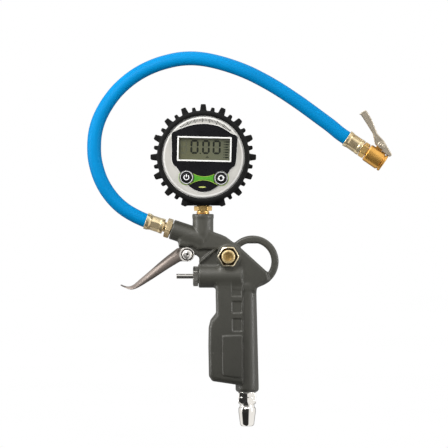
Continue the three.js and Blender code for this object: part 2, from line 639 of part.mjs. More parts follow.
add(gauge, 'pressure_sensor', union(
  rodZ(STEM_X, -24.2, -18.6, 4.6),
  rodZ(STEM_X, -18.8, -17.8, 2.6),
), FINISH.sensor);
add(gauge, 'sensor_ribbon', box([-2.4, 2.4], [-3.3, -2.7], [-17.4, -9.0]), FINISH.ribbon);

// ------------------------------------------------------------------ outlet fitting, first ferrule
const outlet = addGroup(assembly, OUTLET_FACE, OUTLET_ANGLE);   // local +x runs out of the body
const outletFitting = cut(
  union(
    hexPrism(14.2, 'x', 0.5, 4.9),
    rodX(0, -8, 0.6, 4.9, 12),
    rodX(0, 4.8, 7.4, 4.0, 12),
    // barbed tail inside the hose
    turned([
      [0, 7.2], [2.8, 7.2], [2.8, 9.0], [3.0, 9.0], [2.6, 12.6], [3.0, 12.6], [2.6, 16.2],
      [3.0, 16.2], [2.5, 20.4], [0, 20.4],
    ], 'x'),
  ),
  rodX(0, -9, 22, 1.6),
);
add(outlet, 'outlet_fitting', outletFitting, FINISH.paleBrass);
add(outlet, 'ferrule_1', turnedRing([
  [4.4, 6.7], [6.1, 6.7], [6.2, 9.2], [6.0, 10.2], [6.0, 16.8], [6.3, 18.0], [6.65, 19.0],
  [6.65, 21.8], [5.95, 21.8], [5.95, 7.9], [4.4, 7.9],
], 'x', 14), FINISH.paleBrass);

// ------------------------------------------------------------------ hose
// one hose, modelled as two halves that meet near the crown; centre line as [x, z]
const HOSE_POINTS = [
  [-61.98, 160.06], [-74.64, 164.3], [-83.6, 168.4], [-92.2, 173.7], [-99.5, 180.2],
  [-105.6, 187.9], [-110.3, 196.3], [-113.6, 205.4], [-115.6, 214.8], [-116.0, 224.4],
  [-115.2, 234.0], [-112.8, 243.3], [-108.8, 252.2], [-103.5, 260.7], [-97.3, 268.4],
  [-90.2, 275.1], [-82.5, 280.8], [-74.4, 285.4], [-65.6, 289.1], [-56.5, 291.8],
  [-47.2, 293.6], [-37.7, 294.1], [-28.1, 293.3], [-18.6, 291.4], [-9.3, 288.8], [-0.2, 285.7],
  [8.7, 282.0], [17.3, 277.7], [25.8, 273.0], [34.0, 268.0], [42.0, 262.7], [49.9, 257.3],
  [57.6, 251.7], [65.3, 246.0], [73.0, 240.3],
  // straight run on the chuck axis
  ...[-42.4, -35.8, -29.4, -23.0].map((d) => along(CHUCK_FACE, CHUCK_ANGLE, d)),
];
const CROWN_X = -33;
const CROWN_GAP = 2.5;                     // room for the two halves to bend at the crown
const hosePath = new THREE.CatmullRomCurve3(
  HOSE_POINTS.map(([x, z]) => new THREE.Vector3(x, 0, z)), false, 'centripetal',
);

// part of the hose between two shares of its length
function hosePart(start, end, steps) {
  const ring = section(circle([0, 0], HOSE_RADIUS, 12), [circle([0, 0], HOSE_BORE_RADIUS, 9)]);
  return solid(sweep(ring, steps, (t) => hosePath.getPointAt(start + (end - start) * t)));
}

// the crown is found to one part in 400 of the length
let crownStep = 0;
while (hosePath.getPointAt(crownStep / 400).x <= CROWN_X) crownStep += 1;
const crown = crownStep / 400;
const halfGap = CROWN_GAP / 2 / hosePath.getLength();
add(assembly, 'hose_gun_half', hosePart(0, crown - halfGap, 22), FINISH.hose);
add(assembly, 'hose_chuck_half', hosePart(crown + halfGap, 1, 15), FINISH.hose);

// ------------------------------------------------------------------ clip-on chuck
// local +x runs out of the mouth, local +z towards the lever
const chuck = addGroup(assembly, CHUCK_FACE, CHUCK_ANGLE);

add(chuck, 'ferrule_2', turnedRing([
  [5.95, -35.8], [6.7, -35.8], [6.7, -33.4], [6.25, -32.2], [6.25, -25.0], [6.5, -24.0],
  [6.5, -21.6], [4.0, -21.6], [4.0, -22.7], [5.95, -22.7],
], 'x', 14), FINISH.paleBrass);

const tailFitting = cut(
  union(
    turned([
      [0, -34.8], [2.5, -34.8], [2.9, -30.6], [2.6, -30.6], [2.9, -27.0], [2.6, -27.0],
      [2.9, -23.4], [3.6, -22.7], [3.7, -21.0], [0, -21.0],
    ], 'x'),
    hexPrism(11.4, 'x', -21.3, -16.6),
    rodX(0, -16.8, -14.6, 2.9),
  ),
  rodX(0, -36, -14, 1.5),
);
add(chuck, 'chuck_tail_fitting', tailFitting, FINISH.paleBrass);

const leverPivotHole = rodY(LEVER_PIVOT, -6, 6, LEVER_HOLE_RADIUS);
const chuckBody = cut(
  union(
    turned([
      [0, -16.2], [6.6, -16.2], [CHUCK_RADIUS, -15.4], [CHUCK_RADIUS, -3.0], [6.9, -2.7],
      [6.9, -2.0], [CHUCK_RADIUS, -1.7], [CHUCK_RADIUS, -0.6], [6.7, 0], [0, 0],
    ], 'x', 16),
    // lever lug
    slab([
      [-12.8, 4.0], [-6.8, 4.0], [-7.4, 10.8], [-8.6, 12.4], [-11.0, 12.4], [-12.2, 10.8],
    ], 1.5),
  ),
  rodX(0, -12, 1, CHUCK_BORE_RADIUS, 12),
  rodX(0, -14.3, -11, 3.8),
  rodX(0, -17, -13, 3.2),
  box([-2.6, 1], [-2.5, 2.5], [2.4, 9]),   // slot for the lever's tooth
  leverPivotHole,
);
add(chuck, 'chuck_body', chuckBody, FINISH.chuckBrass);
add(chuck, 'chuck_seal', turnedRing([
  [1.9, -11.6], [4.0, -11.6], [4.0, -9.4], [2.2, -9.4],
], 'x'), FINISH.rubber);

// disc with three air holes, and the pin
const depressor = cut(
  union(rodX(0, -13.6, -12.3, 3.5), rodX(0, -12.5, -7.0, 0.8)),
  ...[0, 120, 240].map((angle) => {
    const [y, z] = along([0, 0], angle, 2.1);
    return rod([-14, y, z], [-12, y, z], 0.8);
  }),
);
add(chuck, 'depressor_pin', depressor, FINISH.brass);

// stamped clip lever: thumb tab, stiffened neck, side cheeks and a tooth that grips the valve thread
const LEVER_HALF = 4.1;
const CHEEK = 1.1;                         // thickness of each cheek
// [x, z] in the chuck's frame
const LEVER_SIDE = [
  [-38.1, 22.3], [-36.2, 26.6], [-35.2, 26.9], [-27.1, 23.1], [-19.4, 17.9], [-17.6, 16.6],
  [-10.0, 13.6], [1.2, 9.4], [1.4, 8.6], [-11.0, 8.3], [-14.4, 9.0], [-20.6, 14.9],
  [-28.6, 18.4],
];
const LEVER_WEB = [
  [-36.2, 26.6], [-35.2, 26.9], [-27.1, 23.1], [-19.4, 17.9], [-17.6, 16.6], [-10.0, 14.9],
  [1.2, 9.6], [-0.3, 8.9], [-10.4, 13.7], [-18.0, 15.3], [-19.8, 16.5], [-27.5, 21.9],
  [-35.6, 25.5],
];
const LEVER_LUG = [[-10.0, 13.6], [-12.6, 10.6], [-9.8, 8.2], [-6.4, 9.6], [-7.0, 13.0]];
const LEVER_TOOTH = [[-1.6, 3.7], [-0.4, 3.7], [-0.2, 9.2], [-1.6, 9.9]];
const lever = cut(
  union(
    slab(LEVER_WEB, LEVER_HALF),
    ...[LEVER_SIDE, LEVER_LUG].flatMap((outline) => [
      plate(outline, -LEVER_HALF, -LEVER_HALF + CHEEK),
      plate(outline, LEVER_HALF - CHEEK, LEVER_HALF),
    ]),
    slab(LEVER_TOOTH, 2.1),
  ),
  leverPivotHole,
);
add(chuck, 'chuck_lever', lever, FINISH.steel);
add(chuck, 'chuck_lever_pin', turned([
  [0, -5.1], [1.7, -4.9], [2.0, -4.4], [1.2, -4.4], [1.2, 4.4], [2.0, 4.4], [1.7, 4.9], [0, 5.1],
], 'y', 10, LEVER_PIVOT), FINISH.steel);
const leverSpring = coil({
  radius: 1.75, length: 1.0, turns: 1.6, wireRadius: 0.3, stepsPerTurn: 12,
});
leverSpring.rotateZ(Math.PI / 2);
leverSpring.translate(LEVER_PIVOT[0], 1.78, LEVER_PIVOT[1]);
add(chuck, 'chuck_lever_spring', solid(leverSpring), FINISH.spring);

export default assembly;
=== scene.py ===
"""Looks of a digital tyre inflator gun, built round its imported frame.

The gun stands upright with +Z up. Its gauge faces the front (-Y), the trigger points left (-X),
and the hose leaves to the left, loops over the gauge and ends in the chuck on the right.
Shapes are written in millimetres and become metres when a mesh is made. Shader distances,
lights and the camera are in metres. A point written as a pair is (x, z) unless told otherwise."""
import math

import bmesh
import bpy
import numpy as np
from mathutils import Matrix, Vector
from mathutils.geometry import tessellate_polygon


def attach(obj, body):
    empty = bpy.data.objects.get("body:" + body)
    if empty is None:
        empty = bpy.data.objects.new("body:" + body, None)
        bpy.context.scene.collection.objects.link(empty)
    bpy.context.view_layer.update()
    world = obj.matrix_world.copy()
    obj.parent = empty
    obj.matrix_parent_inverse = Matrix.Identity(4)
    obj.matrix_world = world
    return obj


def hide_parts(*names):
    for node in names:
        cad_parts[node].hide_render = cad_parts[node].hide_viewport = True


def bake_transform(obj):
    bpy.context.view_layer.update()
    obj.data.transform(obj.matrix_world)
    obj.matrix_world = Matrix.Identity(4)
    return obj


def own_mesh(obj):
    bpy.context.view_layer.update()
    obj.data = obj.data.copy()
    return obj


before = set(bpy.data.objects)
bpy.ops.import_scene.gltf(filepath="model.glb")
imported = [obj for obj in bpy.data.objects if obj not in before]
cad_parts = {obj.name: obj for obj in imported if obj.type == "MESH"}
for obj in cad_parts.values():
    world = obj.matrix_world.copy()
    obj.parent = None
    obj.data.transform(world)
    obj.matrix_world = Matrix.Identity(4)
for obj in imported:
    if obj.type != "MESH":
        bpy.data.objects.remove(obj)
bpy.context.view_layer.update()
MM = 0.001
rad = math.radians

# ------------------------------------------------------------------ shared dimensions
INLET_X = 6.4                       # axis of the upright air passage
PIVOT = (-41.4, 137.2)              # trigger pivot
VALVE_Z = 119.8                     # axis of the air valve, along x
BLEED = (-8.6, 135.6)               # axis of the bleed valve, along y
NECK_X = -28.9                      # upright axis of the gauge neck
OUTLET_FACE = (-54.0, 157.44)
OUTLET_RISE = 18.2                  # degrees above -X
GAUGE = (-28.6, 215.0)
FACE_ROLL = 1.3                     # degrees the dial face is turned in its shell
CHUCK_FACE = (115.6, 210.0)
CHUCK_DROP = 34.5                   # degrees below +X
LEVER_PIVOT = (-9.8, 10.8)          # in the chuck's axes
STEM_X = NECK_X - GAUGE[0]          # the neck's axis, from the middle of the gauge


class Place:
    """Takes local points to the part's frame; the rows of axes are the local x, y and z."""

    def __init__(self, origin=(0, 0, 0), axes=((1, 0, 0), (0, 1, 0), (0, 0, 1))):
        self.origin = np.array(origin, float)
        self.axes = np.array(axes, float)

    def __call__(self, points):
        return np.asarray(points, float) @ self.axes + self.origin


def place_at(centre, turn=0.0):
    """A place at (x, z), turned about +Y by degrees that take +X towards -Z."""
    c, s = math.cos(rad(turn)), math.sin(rad(turn))
    return Place((centre[0], 0, centre[1]), ((c, 0, -s), (0, 1, 0), (s, 0, c)))


WORLD = Place()
GAUGE_AT = place_at(GAUGE)
FACE_AT = place_at(GAUGE, FACE_ROLL)
OUTLET_AT = place_at(OUTLET_FACE, OUTLET_RISE - 180)     # x runs out of the gun
CHUCK_AT = place_at(CHUCK_FACE, CHUCK_DROP)              # x runs out of the chuck's mouth


# ------------------------------------------------------------------ shader tools
class Nodes:
    """A small builder over a node tree. A value may be a number, a colour or an output."""

    def __init__(self, tree):
        self.tree = tree
        tree.nodes.clear()

    def feed(self, socket, value):
        if hasattr(value, "is_linked"):
            self.tree.links.new(value, socket)
        else:
            socket.default_value = (*value, 1) if isinstance(value, tuple) else value

    def node(self, kind, **values):
        """A new node; an underscore in a value's name stands for a space in the socket's."""
        node = self.tree.nodes.new("ShaderNode" + kind)
        for name, value in values.items():
            self.feed(node.inputs[name.replace("_", " ")], value)
        return node

    def math(self, operation, first, second=0.0, third=None):
        node = self.node("Math")
        node.operation = operation
        self.feed(node.inputs[0], first)
        self.feed(node.inputs[1], second)
        if third is not None:
            self.feed(node.inputs[2], third)
        return node.outputs[0]

    def mix_shaders(self, mask, first, second):
        node = self.node("MixShader")
        for socket, value in zip(node.inputs, (mask, first, second)):
            self.feed(socket, value)
        return node.outputs[0]

    def smooth_step(self, value, start, end):
        node = self.node("MapRange", Value=value, From_Min=start, From_Max=end)
        node.interpolation_type = "SMOOTHSTEP"
        return node.outputs["Result"]


class Shader(Nodes):
    """A material, by default round a Principled shader, textured in object coordinates."""

    def __init__(self, name, principled=True):
        self.material = bpy.data.materials.new(name)
        self.material.use_nodes = True
        super().__init__(self.material.node_tree)
        self.output = self.node("OutputMaterial")
        if principled:
            self.principled = self.node("BsdfPrincipled")
            self.feed(self.output.inputs[0], self.principled.outputs[0])
        self.coord = self.node("TexCoord")
        self.normal = None

    def finish(self, base, roughness, metallic=0.0, specular=0.5):
        inputs = self.principled.inputs
        self.feed(inputs["Base Color"], base)
        self.feed(inputs["Roughness"], roughness)
        self.feed(inputs["Metallic"], metallic)
        self.feed(inputs["Specular IOR Level"], specular)

    def mapped(self):
        return self.node("Mapping", Vector=self.coord.outputs["Object"]).outputs[0]

    def noise(self, scale, detail=3.0, rough=0.55):
        node = self.node("TexNoise", Scale=scale, Detail=detail, Roughness=rough,
                         Vector=self.mapped())
        return node.outputs["Fac"]

    def ramp(self, value, stops):
        """stops is [(position, grey or colour), ...]."""
        node = self.node("ValToRGB", Fac=value)
        elements = node.color_ramp.elements
        while len(elements) < len(stops):
            elements.new(0.5)
        for element, (position, colour) in zip(elements, stops):
            element.position = position
            grey = isinstance(colour, (int, float))
            element.color = (colour, colour, colour, 1) if grey else (*colour, 1)
        return node.outputs["Color"]

    def fade(self, value, span, levels=(0.0, 1.0)):
        """Goes from one level to the other as value crosses the span."""
        return self.ramp(value, list(zip(span, levels)))

    def patches(self, scale, detail=3.0, rough=0.55, span=(0.3, 0.7), levels=(0.0, 1.0)):
        return self.fade(self.noise(scale, detail, rough), span, levels)

    def mix(self, mask, under, over, amount=None, blend="MIX"):
        """Lays over on under by the mask, which may be weakened by an amount."""
        if amount is not None:
            mask = self.math("MULTIPLY", mask, amount)
        node = self.node("Mix")
        node.data_type = "RGBA"
        node.blend_type = blend
        for i, value in ((0, mask), (6, under), (7, over)):
            self.feed(node.inputs[i], value)
        return node.outputs[2]

    def facing(self, blend):
        return self.node("LayerWeight", Blend=blend).outputs["Facing"]

    def axis(self, which):
        return self.node("SeparateXYZ", Vector=self.coord.outputs["Object"]).outputs[which]

    def offsets(self, centre):
        """x and z from a centre given in mm."""
        return [self.math("SUBTRACT", self.axis(i), value * MM)
                for i, value in ((0, centre[0]), (2, centre[1]))]

    def radius(self, centre):
        x, z = self.offsets(centre)
        squares = self.math("ADD", self.math("MULTIPLY", x, x), self.math("MULTIPLY", z, z))
        return self.math("SQRT", squares)

    def centimetres(self, length):
        return self.math("MULTIPLY", length, 100.0)

    def across_gauge(self):
        """x scaled to run from about 0 to 1 over the width of the display and cells."""
        return self.math("MULTIPLY_ADD", self.axis(0), 22.0, 1.13)

    def bump(self, height, distance, strength):
        node = self.node("Bump", Strength=strength, Distance=distance, Height=height)
        if self.normal is not None:
            self.feed(node.inputs["Normal"], self.normal)
        self.normal = node.outputs[0]
        self.feed(self.principled.inputs["Normal"], self.normal)


# ------------------------------------------------------------------ single materials
def painted_casting():
    """Dark paint with pale worn edges, with painted shade at grazing angles and low on the grip.
    """
    s = Shader("cast_paint")
    base = s.mix(s.patches(scale=38, detail=2), (0.048, 0.0475, 0.0392), (0.059, 0.0580, 0.0480))
    base = s.mix(s.patches(scale=1500, rough=0.6, span=(0.35, 0.75)), base,
                 (0.085, 0.084, 0.074), amount=0.30)
    pointiness = s.node("NewGeometry").outputs["Pointiness"]
    base = s.mix(s.fade(pointiness, span=(0.515, 0.60)), base, (0.20, 0.20, 0.175), amount=0.30)
    # painted shade: the paint darkens at grazing angles, round the outline
    base = s.mix(s.fade(s.facing(blend=0.35), span=(0.55, 0.95)), base,
                 (0.018, 0.018, 0.016), amount=0.55)
    # painted shade: darker low on the grip and full brightness higher up, as if lit from above
    shade = s.ramp(s.math("MULTIPLY", s.axis(2), 5.0),
                   [(0.25, 0.66), (0.52, 0.84), (0.68, 1.0), (0.85, 1.0)])
    base = s.mix(1.0, base, shade, blend="MULTIPLY")
    s.finish(base, roughness=s.patches(scale=900, detail=2, levels=(0.34, 0.47)), specular=0.55)
    s.bump(s.noise(scale=950, rough=0.6), distance=0.00011, strength=0.55)
    s.bump(s.noise(scale=170, detail=2), distance=0.00025, strength=0.35)
    return s.material


def hose_material():
    s = Shader("hose_blue")
    streak = s.noise(scale=420, rough=0.6)
    base = s.mix(s.patches(scale=26, detail=2), (0.0, 0.200, 0.485), (0.0, 0.230, 0.545))
    base = s.mix(s.fade(streak, span=(0.45, 0.8)), base, (0.0, 0.30, 0.66), amount=0.05)
    # painted shade: the blue darkens towards the rims at grazing angles
    rim = s.fade(s.facing(blend=0.42), span=(0.45, 0.98))
    base = s.mix(rim, base, (0.0, 0.080, 0.33), amount=0.65)
    s.finish(base, roughness=s.patches(scale=700, detail=2, levels=(0.42, 0.52)), specular=0.07)
    s.bump(s.noise(scale=420, detail=2), distance=0.00001, strength=0.4)
    return s.material


def silver_face():
    """Silver paint with metal flakes, with a painted highlight outside a circle round the gauge,
    on its rounded outer edge.
    """
    s = Shader("silver_face_paint")
    flake = s.noise(scale=2600, detail=2, rough=0.7)
    base = s.mix(s.patches(scale=30, detail=2), (0.485, 0.475, 0.448), (0.56, 0.55, 0.518))
    base = s.mix(s.fade(flake, span=(0.4, 0.75)), base, (0.65, 0.64, 0.605), amount=0.35)
    # painted highlight along the rounded outer edge of the face
    radius = s.math("MULTIPLY", s.radius(GAUGE), 10.0)
    base = s.mix(s.fade(radius, span=(0.3065, 0.3085)), base, (0.84, 0.835, 0.81))
    s.finish(base, roughness=s.fade(flake, span=(0.3, 0.7), levels=(0.38, 0.52)), metallic=0.10)
    s.bump(flake, distance=0.00003, strength=0.5)
    return s.material


def lcd_material():
    s = Shader("lcd_grey")
    along = s.fade(s.across_gauge(), span=(0.0, 1.0))
    base = s.mix(along, (0.140, 0.130, 0.074), (0.150, 0.152, 0.110))
    base = s.mix(s.noise(scale=500, detail=2), base, (0.24, 0.24, 0.19), amount=0.10)
    s.finish(base, roughness=0.32, specular=0.35)
    s.bump(s.noise(scale=1500, detail=2), distance=0.00002, strength=0.3)
    return s.material


def lens_material():
    """A clear sheet that mirrors only on its outer side, with a little dust."""
    s = Shader("lcd_window", principled=False)
    clear = s.node("BsdfTransparent")
    gloss = s.node("BsdfGlossy", Roughness=0.06)
    mirror = s.node("Fresnel", IOR=1.38).outputs[0]
    back = s.node("NewGeometry").outputs["Backfacing"]
    outer = s.math("MULTIPLY", mirror, s.math("SUBTRACT", 1.0, back))
    dust = s.math("MULTIPLY", s.patches(scale=900, span=(0.62, 0.85)), 0.03)
    tint = s.mix(s.noise(scale=60, detail=1), (0.93, 0.95, 0.92), (0.96, 0.97, 0.95))
    s.feed(clear.inputs["Color"], tint)
    mixed = s.mix_shaders(s.math("ADD", outer, dust), clear.outputs[0], gloss.outputs[0])
    s.feed(s.output.inputs[0], mixed)
    return s.material


def board_material():
    s = Shader("pcb_green")
    cells = s.node("TexVoronoi", Scale=420, Vector=s.mapped()).outputs["Distance"]
    tracks = s.fade(cells, span=(0.30, 0.36))
    base = s.mix(tracks, (0.010, 0.085, 0.038), (0.02, 0.16, 0.07), amount=0.35)
    s.finish(base, roughness=s.patches(scale=700, detail=2, levels=(0.35, 0.5)))
    s.bump(tracks, distance=0.00003, strength=0.5)
    return s.material


def cell_wrap():
    """A wrap that is blue at its left end and gold along the rest."""
    s = Shader("battery_wrap")
    blue = (0.015, 0.07, 0.25)
    band = s.ramp(s.across_gauge(), [(0.0, blue), (0.30, blue), (0.31, (0.45, 0.36, 0.16)),
                                     (0.98, (0.50, 0.40, 0.18))])
    base = s.mix(s.noise(scale=600, detail=2), band, (0.3, 0.3, 0.35), amount=0.12)
    s.finish(base, roughness=s.patches(scale=400, detail=2, levels=(0.22, 0.34)), metallic=0.25)
    s.bump(s.noise(scale=300, detail=2), distance=0.00005, strength=0.3)
    return s.material


def bleed_hex_material():
    """Pale brass with bright chamfers; the recess round the button is painted dark as shade."""
    s = Shader("bleed_hex_brass")
    base = s.mix(s.patches(scale=60, span=(0.35, 0.68)), (0.80, 0.68, 0.45), (0.97, 0.90, 0.72))
    # painted shade: dark inside a hexagon just within the flats, in the recess round the button
    x, z = s.offsets(BLEED)
    x = s.math("MULTIPLY", x, math.cos(math.pi / 6))
    half = s.math("MULTIPLY", z, 0.5)
    slanted = [s.math("ABSOLUTE", s.math(operation, x, half)) for operation in ("ADD", "SUBTRACT")]
    across = s.math("MAXIMUM", *slanted)
    across = s.math("MAXIMUM", across, s.math("ABSOLUTE", z))
    face = s.fade(s.centimetres(across), span=(0.664, 0.684))
    s.finish(s.mix(face, (0.050, 0.028, 0.009), base), metallic=0.78,
             roughness=s.patches(scale=500, rough=0.6, span=(0.3, 0.72), levels=(0.16, 0.26)))
    s.bump(s.noise(scale=250, detail=2, rough=0.5), distance=0.00001, strength=0.5)
    return s.material


def button_material():
    """Worn brass with a painted reflection: brown in the dished centre and bright at the rim."""
    s = Shader("brass_button")
    radius = s.radius(BLEED)
    worn = s.patches(scale=620, rough=0.6, span=(0.35, 0.70))
    # painted reflection: the centre is painted brown and the rim painted bright
    centre = s.mix(worn, (0.25, 0.145, 0.040), (0.46, 0.31, 0.110))
    rim = s.ramp(s.centimetres(radius), [(0.33, 0.0), (0.42, 0.85), (0.50, 1.0)])
    s.finish(s.mix(rim, centre, s.mix(worn, (0.72, 0.53, 0.25), (0.92, 0.76, 0.44))),
             roughness=s.patches(scale=500, rough=0.6, span=(0.3, 0.72), levels=(0.32, 0.42)),
             metallic=0.65)
    s.bump(worn, distance=0.00002, strength=0.5)
    return s.material


def trigger_material():
    """Bead-blasted steel, with painted shade towards the lower edge and at the highest part of the
    top, a painted highlight on the rim of the ears and a painted shadow in the ring round the
    pivot pin."""
    s = Shader("polished_steel")
    streak = s.noise(scale=70, detail=2, rough=0.5)
    base = s.mix(streak, (0.262, 0.222, 0.200), (0.305, 0.261, 0.236))
    # distance square to the blade, from its lower edge up
    across = s.math("ADD", s.math("MULTIPLY", s.axis(0), -0.546),
                    s.math("MULTIPLY", s.axis(2), 0.838))
    # painted shade: the blade darkens towards its lower edge and again at the highest part of its
    # top
    shade = s.ramp(s.math("MULTIPLY", s.math("SUBTRACT", across, 0.1362), 145.0),
                   [(0.0, 0.24), (0.30, 0.50), (0.66, 1.0), (0.92, 1.0), (1.0, 0.45)])
    base = s.mix(1.0, base, shade, blend="MULTIPLY")
    # painted highlight on the raised rim of the ears, and painted shadow in the ring of the recess
    # round the pin
    radius = s.radius(PIVOT)
    ring = s.fade(s.centimetres(radius), span=(0.468, 0.480), levels=(1.0, 0.0))
    rim = s.ramp(s.centimetres(radius), [(0.480, 0.0), (0.492, 1.0), (0.60, 1.0), (0.66, 0.0)])
    base = s.mix(rim, base, (0.74, 0.72, 0.69))
    base = s.mix(ring, base, (0.035, 0.032, 0.030))
    s.finish(base, metallic=0.75, roughness=s.patches(scale=110, detail=1, rough=0.5,
                                                      span=(0.3, 0.72), levels=(0.45, 0.50)))
    s.bump(s.noise(scale=900, detail=1, rough=0.5), distance=0.000001, strength=0.2)
    return s.material


def pin_material():
    """Polished pin, with painted shade down in its centre-drilled dimple."""
    s = Shader("polished_pin")
    base = s.mix(s.patches(scale=60, span=(0.35, 0.68)), (0.80, 0.785, 0.76), (0.90, 0.885, 0.86))
    # painted shade in the dimple
    dimple = s.fade(s.centimetres(s.radius(PIVOT)), span=(0.085, 0.125), levels=(1.0, 0.0))
    s.finish(s.mix(dimple, base, (0.06, 0.055, 0.05)), metallic=0.80,
             roughness=s.patches(scale=600, rough=0.6, span=(0.3, 0.72), levels=(0.10, 0.18)))
    s.bump(s.noise(scale=300, detail=2, rough=0.5), distance=0.00001, strength=0.5)
    return s.material


# ------------------------------------------------------------------ families of materials
def metal(name, light, dark, rough, grain, bump, tarnish, metallic):
    s = Shader(name)
    base = s.mix(s.patches(scale=60, span=(0.35, 0.68)), dark, light)
    if tarnish is not None:
        colour, amount = tarnish
        spots = s.patches(scale=170, detail=2, rough=0.5, span=(0.50, 0.68))
        base = s.mix(spots, base, colour, amount=amount)
    s.finish(base, metallic=metallic,
             roughness=s.patches(scale=grain, rough=0.6, span=(0.3, 0.72), levels=rough))
    s.bump(s.noise(scale=grain * 0.5, detail=2, rough=0.5), distance=bump * 0.5, strength=0.5)
    return s.material


def rubber(name, colour, light, grain, rough, bump, speck):
    s = Shader(name)
    fine = s.noise(scale=grain, rough=0.65)
    base = s.mix(s.fade(fine, span=(0.45, 0.8)), colour, light, amount=speck)
    s.finish(base, roughness=s.patches(scale=grain * 0.6, detail=2, levels=rough), specular=0.15)
    s.bump(fine, distance=bump, strength=0.6)
    s.bump(s.noise(scale=grain * 0.12, detail=2), distance=bump * 2.5, strength=0.25)
    return s.material


def plastic(name, colour, light, grain, rough, bump, specular, broad=40):
    s = Shader(name)
    base = s.mix(s.patches(scale=broad, detail=2), colour, light)
    base = s.mix(s.patches(scale=grain, detail=2, span=(0.5, 0.8)), base, light, amount=0.12)
    s.finish(base, roughness=s.patches(scale=grain * 0.5, detail=2, levels=rough),
             specular=specular)
    s.bump(s.noise(scale=grain, rough=0.6), distance=bump, strength=0.5)
    return s.material


# key: name, light colour, dark colour, roughness range, grain scale, bump (m),
#      tarnish (colour, amount), metallic
METALS = {
    "chrome": ("bright_chrome", (0.90, 0.885, 0.86), (0.82, 0.80, 0.77),
               (0.05, 0.11), 500, 2e-5, None, 1.0),
    "steel": ("turned_steel", (0.74, 0.73, 0.70), (0.60, 0.59, 0.565),
              (0.18, 0.30), 800, 4e-5, None, 0.85),
    "zinc": ("zinc_plate", (0.50, 0.49, 0.46), (0.34, 0.335, 0.31),
             (0.20, 0.32), 800, 4e-5, ((0.12, 0.12, 0.11), 0.5), 0.92),
    "spring": ("spring_steel", (0.70, 0.69, 0.67), (0.58, 0.57, 0.55),
               (0.2, 0.3), 900, 2e-5, None, 1.0),
    "stamped": ("stamped_lever", (0.66, 0.585, 0.47), (0.56, 0.49, 0.385),
                (0.30, 0.38), 400, 1e-5, None, 0.80),
    "brass": ("brass", (0.84, 0.57, 0.22), (0.74, 0.48, 0.17),
              (0.20, 0.32), 800, 3e-5, ((0.42, 0.23, 0.07), 0.30), 0.80),
    "brass_chuck": ("brass_chuck", (0.80, 0.44, 0.105), (0.70, 0.36, 0.075),
                    (0.24, 0.32), 400, 1e-5, None, 0.75),
    "brass_pale": ("brass_pale", (0.92, 0.78, 0.50), (0.74, 0.58, 0.34),
                   (0.14, 0.24), 500, 2e-5, ((0.30, 0.18, 0.07), 0.38), 0.72),
    "brass_dull": ("brass_dull", (0.56, 0.40, 0.17), (0.40, 0.27, 0.10),
                   (0.36, 0.48), 800, 3e-5, ((0.20, 0.11, 0.04), 0.4), 0.55),
    "sensor": ("sensor_can", (0.70, 0.71, 0.72), (0.60, 0.61, 0.62),
               (0.2, 0.3), 800, 4e-5, None, 1.0),
}
# key: name, colour, speck colour, grain scale, roughness range, bump (m), amount of specks
RUBBERS = {
    "boot": ("boot_rubber", (0.0045, 0.0045, 0.0045), (0.016, 0.016, 0.0145),
             1150, (0.58, 0.72), 1.2e-4, 0.15),
    "seal": ("seal_rubber", (0.012, 0.012, 0.012), (0.09, 0.09, 0.09),
             1800, (0.5, 0.62), 5e-5, 0.15),
    "key": ("key_rubber", (0.008, 0.008, 0.009), (0.09, 0.09, 0.09),
            2200, (0.40, 0.52), 3e-5, 0.10),
}
